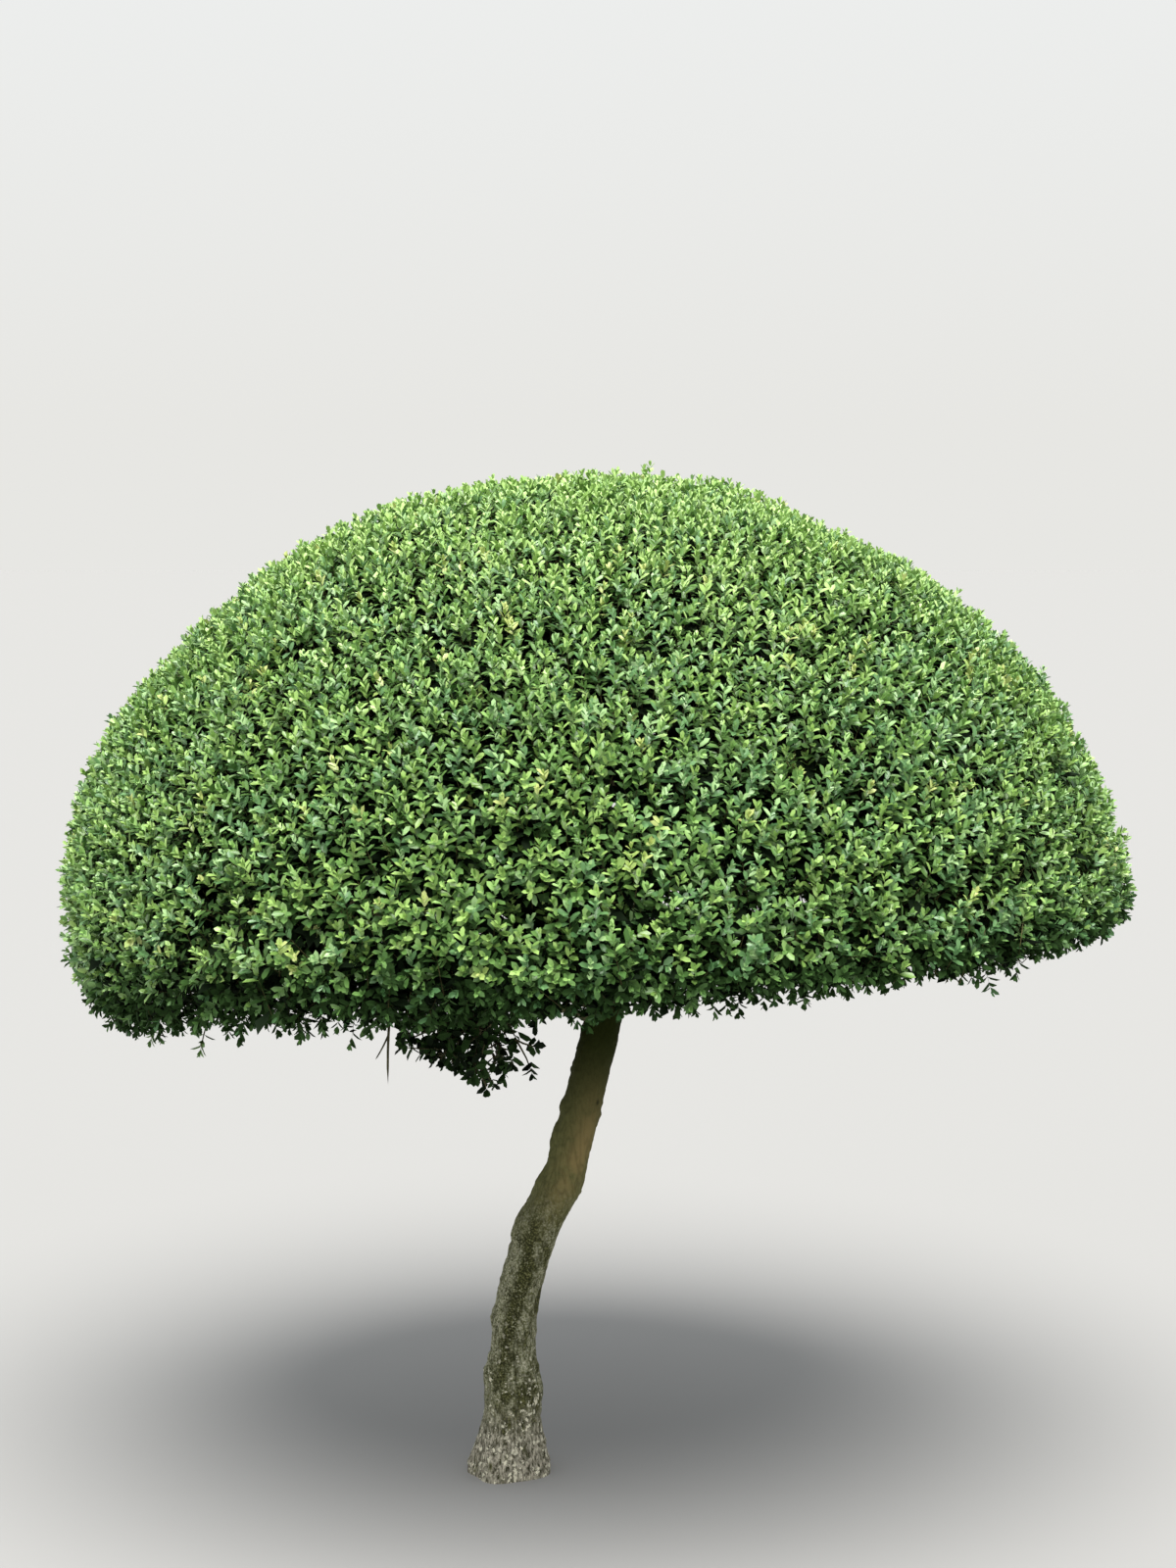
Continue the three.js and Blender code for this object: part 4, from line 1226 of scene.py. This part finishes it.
def grow_shoots(twig_lines):
    """Leafy shoots all over the outline: their mesh, and their young, old and inner leaves.

    The young leaves have their tint, and the old ones the share of the outline that they grow at."""
    spacing, rim_spacing = SHOOT["spacing"], SHOOT["rim_spacing"]
    share, turn, sites = crown_sites(SHOOT["tries"], SHOOT["last_share"], 0.0, spacing, rim_spacing)
    ways, normal = shoot_ways(share, turn)
    tips = sites + normal * shoot_heights(share, sites)[:, None]
    low = ramp(share, *RIM_LEAVES)
    size = mix(*LEAF_SIZE, low) * random.uniform(*LEAF_SIZE_CHANCE, len(sites))
    width = mix(*LEAF_WIDTH, low)
    feet = tips - ways * random.uniform(*SHOOT["length"], len(sites))[:, None]
    points = outer_part(twig_lines, BRANCH["bare"]).reshape(-1, 3)
    starts = points[nearest_of(points, feet - normal * SHOOT["foot_inset"])]
    lines = np.stack([starts, feet, tips], axis=1)
    twigs = twig_mesh(lines, np.broadcast_to(SHOOT["radii"], lines.shape[:2]), 3)
    opened = mix(1.0, OPEN_AT_RIM, low)
    young = shoot_leaves(tips, ways, size * YOUNG_LEAF, width, PAIRS, opened)
    young["tint"] = deal_tints(young, sites, share, turn)
    size = size * (1 - SMALLER_UNDER_RIM * ramp(share, *UNDER_RIM))
    old = shoot_leaves(tips, ways, size, width * OLD_WIDER, OLD_PAIRS, opened)
    old["share"] = share[old["shoot"]]
    inner_shade = shoot_leaves(tips, ways, size, width * OLD_WIDER, INNER_PAIRS, opened)
    kept = (inner_shade["pair"] == 0) | (share[inner_shade["shoot"]] < LAST_PAIR_UNTIL)
    return twigs, young, old, picked(inner_shade, kept & over_rim(inner_shade["foot"], INNER_CLEAR_OF_RIM))


def strewn_leaves(lines, count, size, spread):
    """Old leaves along the twigs or branches inside the crown."""
    points = outer_part(lines, STREWN["bare"])
    which = random.integers(0, points.shape[0], count)
    step = random.integers(0, points.shape[1], count)
    foot = points[which, step] + random.normal(size=(count, 3)) * spread
    foot = foot[over_rim(foot, STREWN["clear_of_rim"])]
    count = len(foot)
    outward = unit(foot - HEART)
    along = unit(outward * STREWN["outward"] + random.normal(size=(count, 3)) * STREWN["scatter"])
    above = unit(outward + UP * STREWN["upward"] + random.normal(size=(count, 3)) * STREWN["roll"])
    length = size * random.uniform(*STREWN["length"], count)
    return {
        "foot": foot,
        "along": along,
        "above": above,
        "length": length,
        "width": length * STREWN["width"],
        "curl": random.normal(*STREWN["curl"], count),
    }


def place_leaves(name, leaves, tint, node, plain=False):
    shape, faces = (INNER_LEAF_CORNERS, INNER_LEAF_FACES) if plain else (LEAF_CORNERS, LEAF_FACES)
    piece = joined_piece(name, *leaf_mesh(leaves, shape, faces))
    place_piece(piece, tint_materials[tint], node)


def place_crown(limb_lines):
    branches, orders = grow_branch_orders(limb_lines)
    twigs, young, old, inner_shade = grow_shoots(orders[-1])
    place_piece(joined_piece("crown_branches", *together(branches)), bough_material, "crown")
    place_piece(joined_piece("crown_twigs", *twigs), twig_material, "crown")
    for index, tint in enumerate(tint_names):
        chosen = young["tint"] == index
        if chosen.any():
            place_leaves(f"crown_leaves_{tint}", picked(young, chosen), tint, "crown")
    start = 0.0
    for tint, until in OLD_TINTS:
        chosen = (old["share"] >= start) & (old["share"] < until)
        place_leaves(f"crown_leaves_old_{tint}", picked(old, chosen), tint, "crown", plain=True)
        start = until
    # The inner and deepest leaves are painted near-black as shade
    place_leaves("crown_leaves_inner_shade", inner_shade, "inner_shade", "crown", plain=True)
    strewn = [strewn_leaves(orders[-1], *STREWN_OUTER), strewn_leaves(orders[-2], *STREWN_INNER)]
    place_leaves("crown_leaves_deepest_shade", joined_leaves(strewn), "inner_shade", "crown", plain=True)


def tuft_tips():
    """Well-spread places over the tuft's underside."""
    across, floor_heights, fullness = TUFT_FLOOR.T
    points = random.random((TUFT["tries"], 3))
    points[:, 0] = mix(across[0], across[-1], points[:, 0])
    points[:, 1] = mix(*TUFT["depth"], points[:, 1])
    points[:, 2] = mix(floor_heights.min(), TUFT["middle"][2] + TUFT["over_middle"], points[:, 2])
    floor = np.interp(points[:, 0], across, floor_heights)
    floor = floor - TUFT_FLOOR_TILT * (points[:, 1] - TUFT["middle"][1])
    floor = floor + TUFT["ragged"] * noise_at(points, TUFT["ragged_size"], 6.1)
    full = np.interp(points[:, 0], across, fullness)
    kept = (points[:, 2] > floor) & (random.random(len(points)) < full)
    points, full = points[kept], full[kept]
    return points[well_apart(points, TUFT["spacing"] / np.sqrt(full))]


def grow_tuft_branches(stem):
    """The branches that turn round the tuft's stem, as lines."""
    lines = []
    for index in range(TUFT["branches"]):
        share = mix(*TUFT["branch_from"], index / (TUFT["branches"] - 1))
        at = int(share * (len(stem) - 2))
        tilt = mix(*TUFT["branch_tilt"], share)
        way, _ = tipped(unit(stem[at + 1] - stem[at]), tilt, index * TUFT["branch_turn"])
        reach = unit(way - UP * TUFT["droop"]) * TUFT["branch_length"]
        bend = stem[at] + reach * 0.5 + UP * TUFT["branch_rise"]
        lines.append(bezier(stem[at], bend, stem[at] + reach, TUFT["branch_steps"]))
    return np.array(lines)


def place_tuft():
    low = low_bough_line()
    bend = TUFT["foot"] + unit(low[-1] - low[-2]) * TUFT["stem_bend"]
    stem = bezier(TUFT["foot"], bend, TUFT["middle"], TUFT["stem_steps"])
    branches = grow_tuft_branches(stem)
    tips = tuft_tips()
    parents = [branches, stem[None]]
    twigs, twig_radii = grow_branches(tips, parents, TUFT["twig_steps"], TUFT["twig_radii"], TUFT["middle"])
    branch_radii = np.linspace(*TUFT["branch_radii"], TUFT["branch_steps"])
    stem_radii = np.linspace(*TUFT["stem_radii"], len(stem))
    wood = [
        twig_mesh(twigs, twig_radii, 4),
        twig_mesh(branches, np.broadcast_to(branch_radii, branches.shape[:2]), 5),
        twig_mesh(stem[None], stem_radii[None], 6),
    ]
    scatter = random.normal(size=tips.shape) * TUFT["shoot_scatter"]
    ways = unit(unit(tips - twigs[:, -2]) - UP * TUFT["shoot_hang"] + scatter)
    hanging_twigs, hanging_leaves = grow_hanging_shoots()
    place_piece(joined_piece("tuft_twigs", *together(wood)), bough_material, "low_tuft")
    size = random.uniform(*TUFT["leaf_size"], len(tips))
    leaves = shoot_leaves(tips, ways, size, TUFT["leaf_width"], TUFT_PAIRS)
    # The tuft's leaves are all in painted shade tints, about a third near-black
    dark = random.random(len(leaves["pair"])) < TUFT["dark_share"]
    place_leaves("tuft_leaves_inner_shade", picked(leaves, dark), "inner_shade", "low_tuft")
    place_leaves("tuft_leaves_shade", picked(leaves, ~dark), "shade", "low_tuft")
    place_piece(joined_piece("hanging_twigs", *hanging_twigs), bough_material, "crown")
    place_leaves("hanging_leaves", hanging_leaves, "mid", "crown")


def grow_hanging_shoots():
    """Shoots that hang under the rim, and the dead twig on it: the mesh of their wood, and their leaves."""
    wood, leaves = [], []
    size = np.array([1.0])
    for turn, reach, drop, pairs in HANGING:
        bearing, share = np.array(math.radians(turn)), np.array(0.75 + (1 - reach) / 4)
        foot = crown_point(share, bearing, HANGING_SHAPE["inset"]) + UP * HANGING_SHAPE["rise"]
        drop = drop * (HANGING_SHAPE["leafy_drop"] if pairs else 1.0)
        tip = crown_point(share, bearing) - UP * drop
        if not pairs:
            tip = tip + DEAD_TWIG["lean"]
        line = bezier(foot, mix(foot, tip, 0.5) + HANGING_SHAPE["bend"], tip, HANGING_SHAPE["steps"])
        if pairs:
            wood.append((line, HANGING_SHAPE["radii"]))
            way = unit(tip - line[-3])[None]
            leaves.append(shoot_leaves(tip[None], way, size, LEAF_WIDTH[1], PAIRS[:pairs], OPEN_AT_RIM))
        else:
            wood.append((line, DEAD_TWIG["radii"]))
            start = line[DEAD_TWIG["fork"]]
            tip = start + DEAD_TWIG["side_way"]
            bend = mix(start, tip, 0.5) + DEAD_TWIG["side_bend"]
            wood.append((bezier(start, bend, tip, HANGING_SHAPE["steps"]), DEAD_TWIG["side_radii"]))
    meshes = []
    for line, radii in wood:
        meshes.append(twig_mesh(line[None], np.linspace(*radii, len(line))[None], HANGING_SHAPE["sides"]))
    return together(meshes), joined_leaves(leaves)


# Floor, light and camera

FLOOR_COLOUR = (0.32, 0.316, 0.31)
FLOOR_WIDTH = 60
HORIZON_COLOUR = (0.8, 0.797, 0.77)
SKY_COLOUR = (0.93, 0.97, 1.0)
SKY_FROM = 0.4  # how far up the horizon's colour has gone over into the sky's
SUN = {"turn": -84, "climb": 65, "width": 46, "strength": 5.5, "colour": (1.0, 0.985, 0.95)}
SUN_AWAY = 6
CAMERA = {"place": (0.1172, -4.8172, 1.6), "down": 6.397, "lens": 74.25, "film_height": 36}


def add_floor():
    bpy.ops.object.select_all(action="DESELECT")
    bpy.ops.mesh.primitive_plane_add(size=FLOOR_WIDTH)
    floor = bpy.context.object
    floor.name = "floor"
    material = new_material("floor")
    floor.data.materials.append(finish_material(material, (*FLOOR_COLOUR, 1), 1.0, 0.0))


def add_sky():
    """A pale sky, a little bluer above than at the horizon."""
    world = bpy.data.worlds.new("soft_sky")
    world.use_nodes = True
    nodes, links = world.node_tree.nodes, world.node_tree.links
    direction = nodes.new("ShaderNodeTexCoord").outputs["Generated"]
    split = nodes.new("ShaderNodeSeparateXYZ")
    links.new(direction, split.inputs["Vector"])
    shading = nodes.new("ShaderNodeValToRGB")
    shading.color_ramp.elements[0].color = (*HORIZON_COLOUR, 1)
    shading.color_ramp.elements[1].position = SKY_FROM
    shading.color_ramp.elements[1].color = (*SKY_COLOUR, 1)
    links.new(split.outputs["Z"], shading.inputs["Fac"])
    links.new(shading.outputs["Color"], nodes["Background"].inputs["Color"])
    bpy.context.scene.world = world


def add_soft_sun(turn, climb, width, strength, colour):
    """Light from a wide soft disk in the sky; turn, climb and width are in degrees."""
    data = bpy.data.lights.new("overhead", "SUN")
    data.angle = math.radians(width)
    data.energy = strength
    data.color = colour
    light = bpy.data.objects.new("overhead", data)
    towards = Vector(bearing_of(math.radians(turn), math.radians(climb)).tolist())
    light.location = towards * SUN_AWAY
    light.rotation_euler = towards.to_track_quat("Z", "Y").to_euler()
    bpy.context.scene.collection.objects.link(light)


def add_camera():
    data = bpy.data.cameras.new("camera")
    data.sensor_fit = "VERTICAL"
    data.sensor_height = CAMERA["film_height"]
    data.lens = CAMERA["lens"]
    camera = bpy.data.objects.new("camera", data)
    camera.location = CAMERA["place"]
    camera.rotation_euler = (math.radians(90 - CAMERA["down"]), 0, 0)
    bpy.context.scene.collection.objects.link(camera)
    bpy.context.scene.camera = camera


place_crown(place_limbs())
place_tuft()
add_floor()
add_sky()
add_soft_sun(**SUN)
add_camera()
bpy.context.scene.view_settings.view_transform = "Standard"
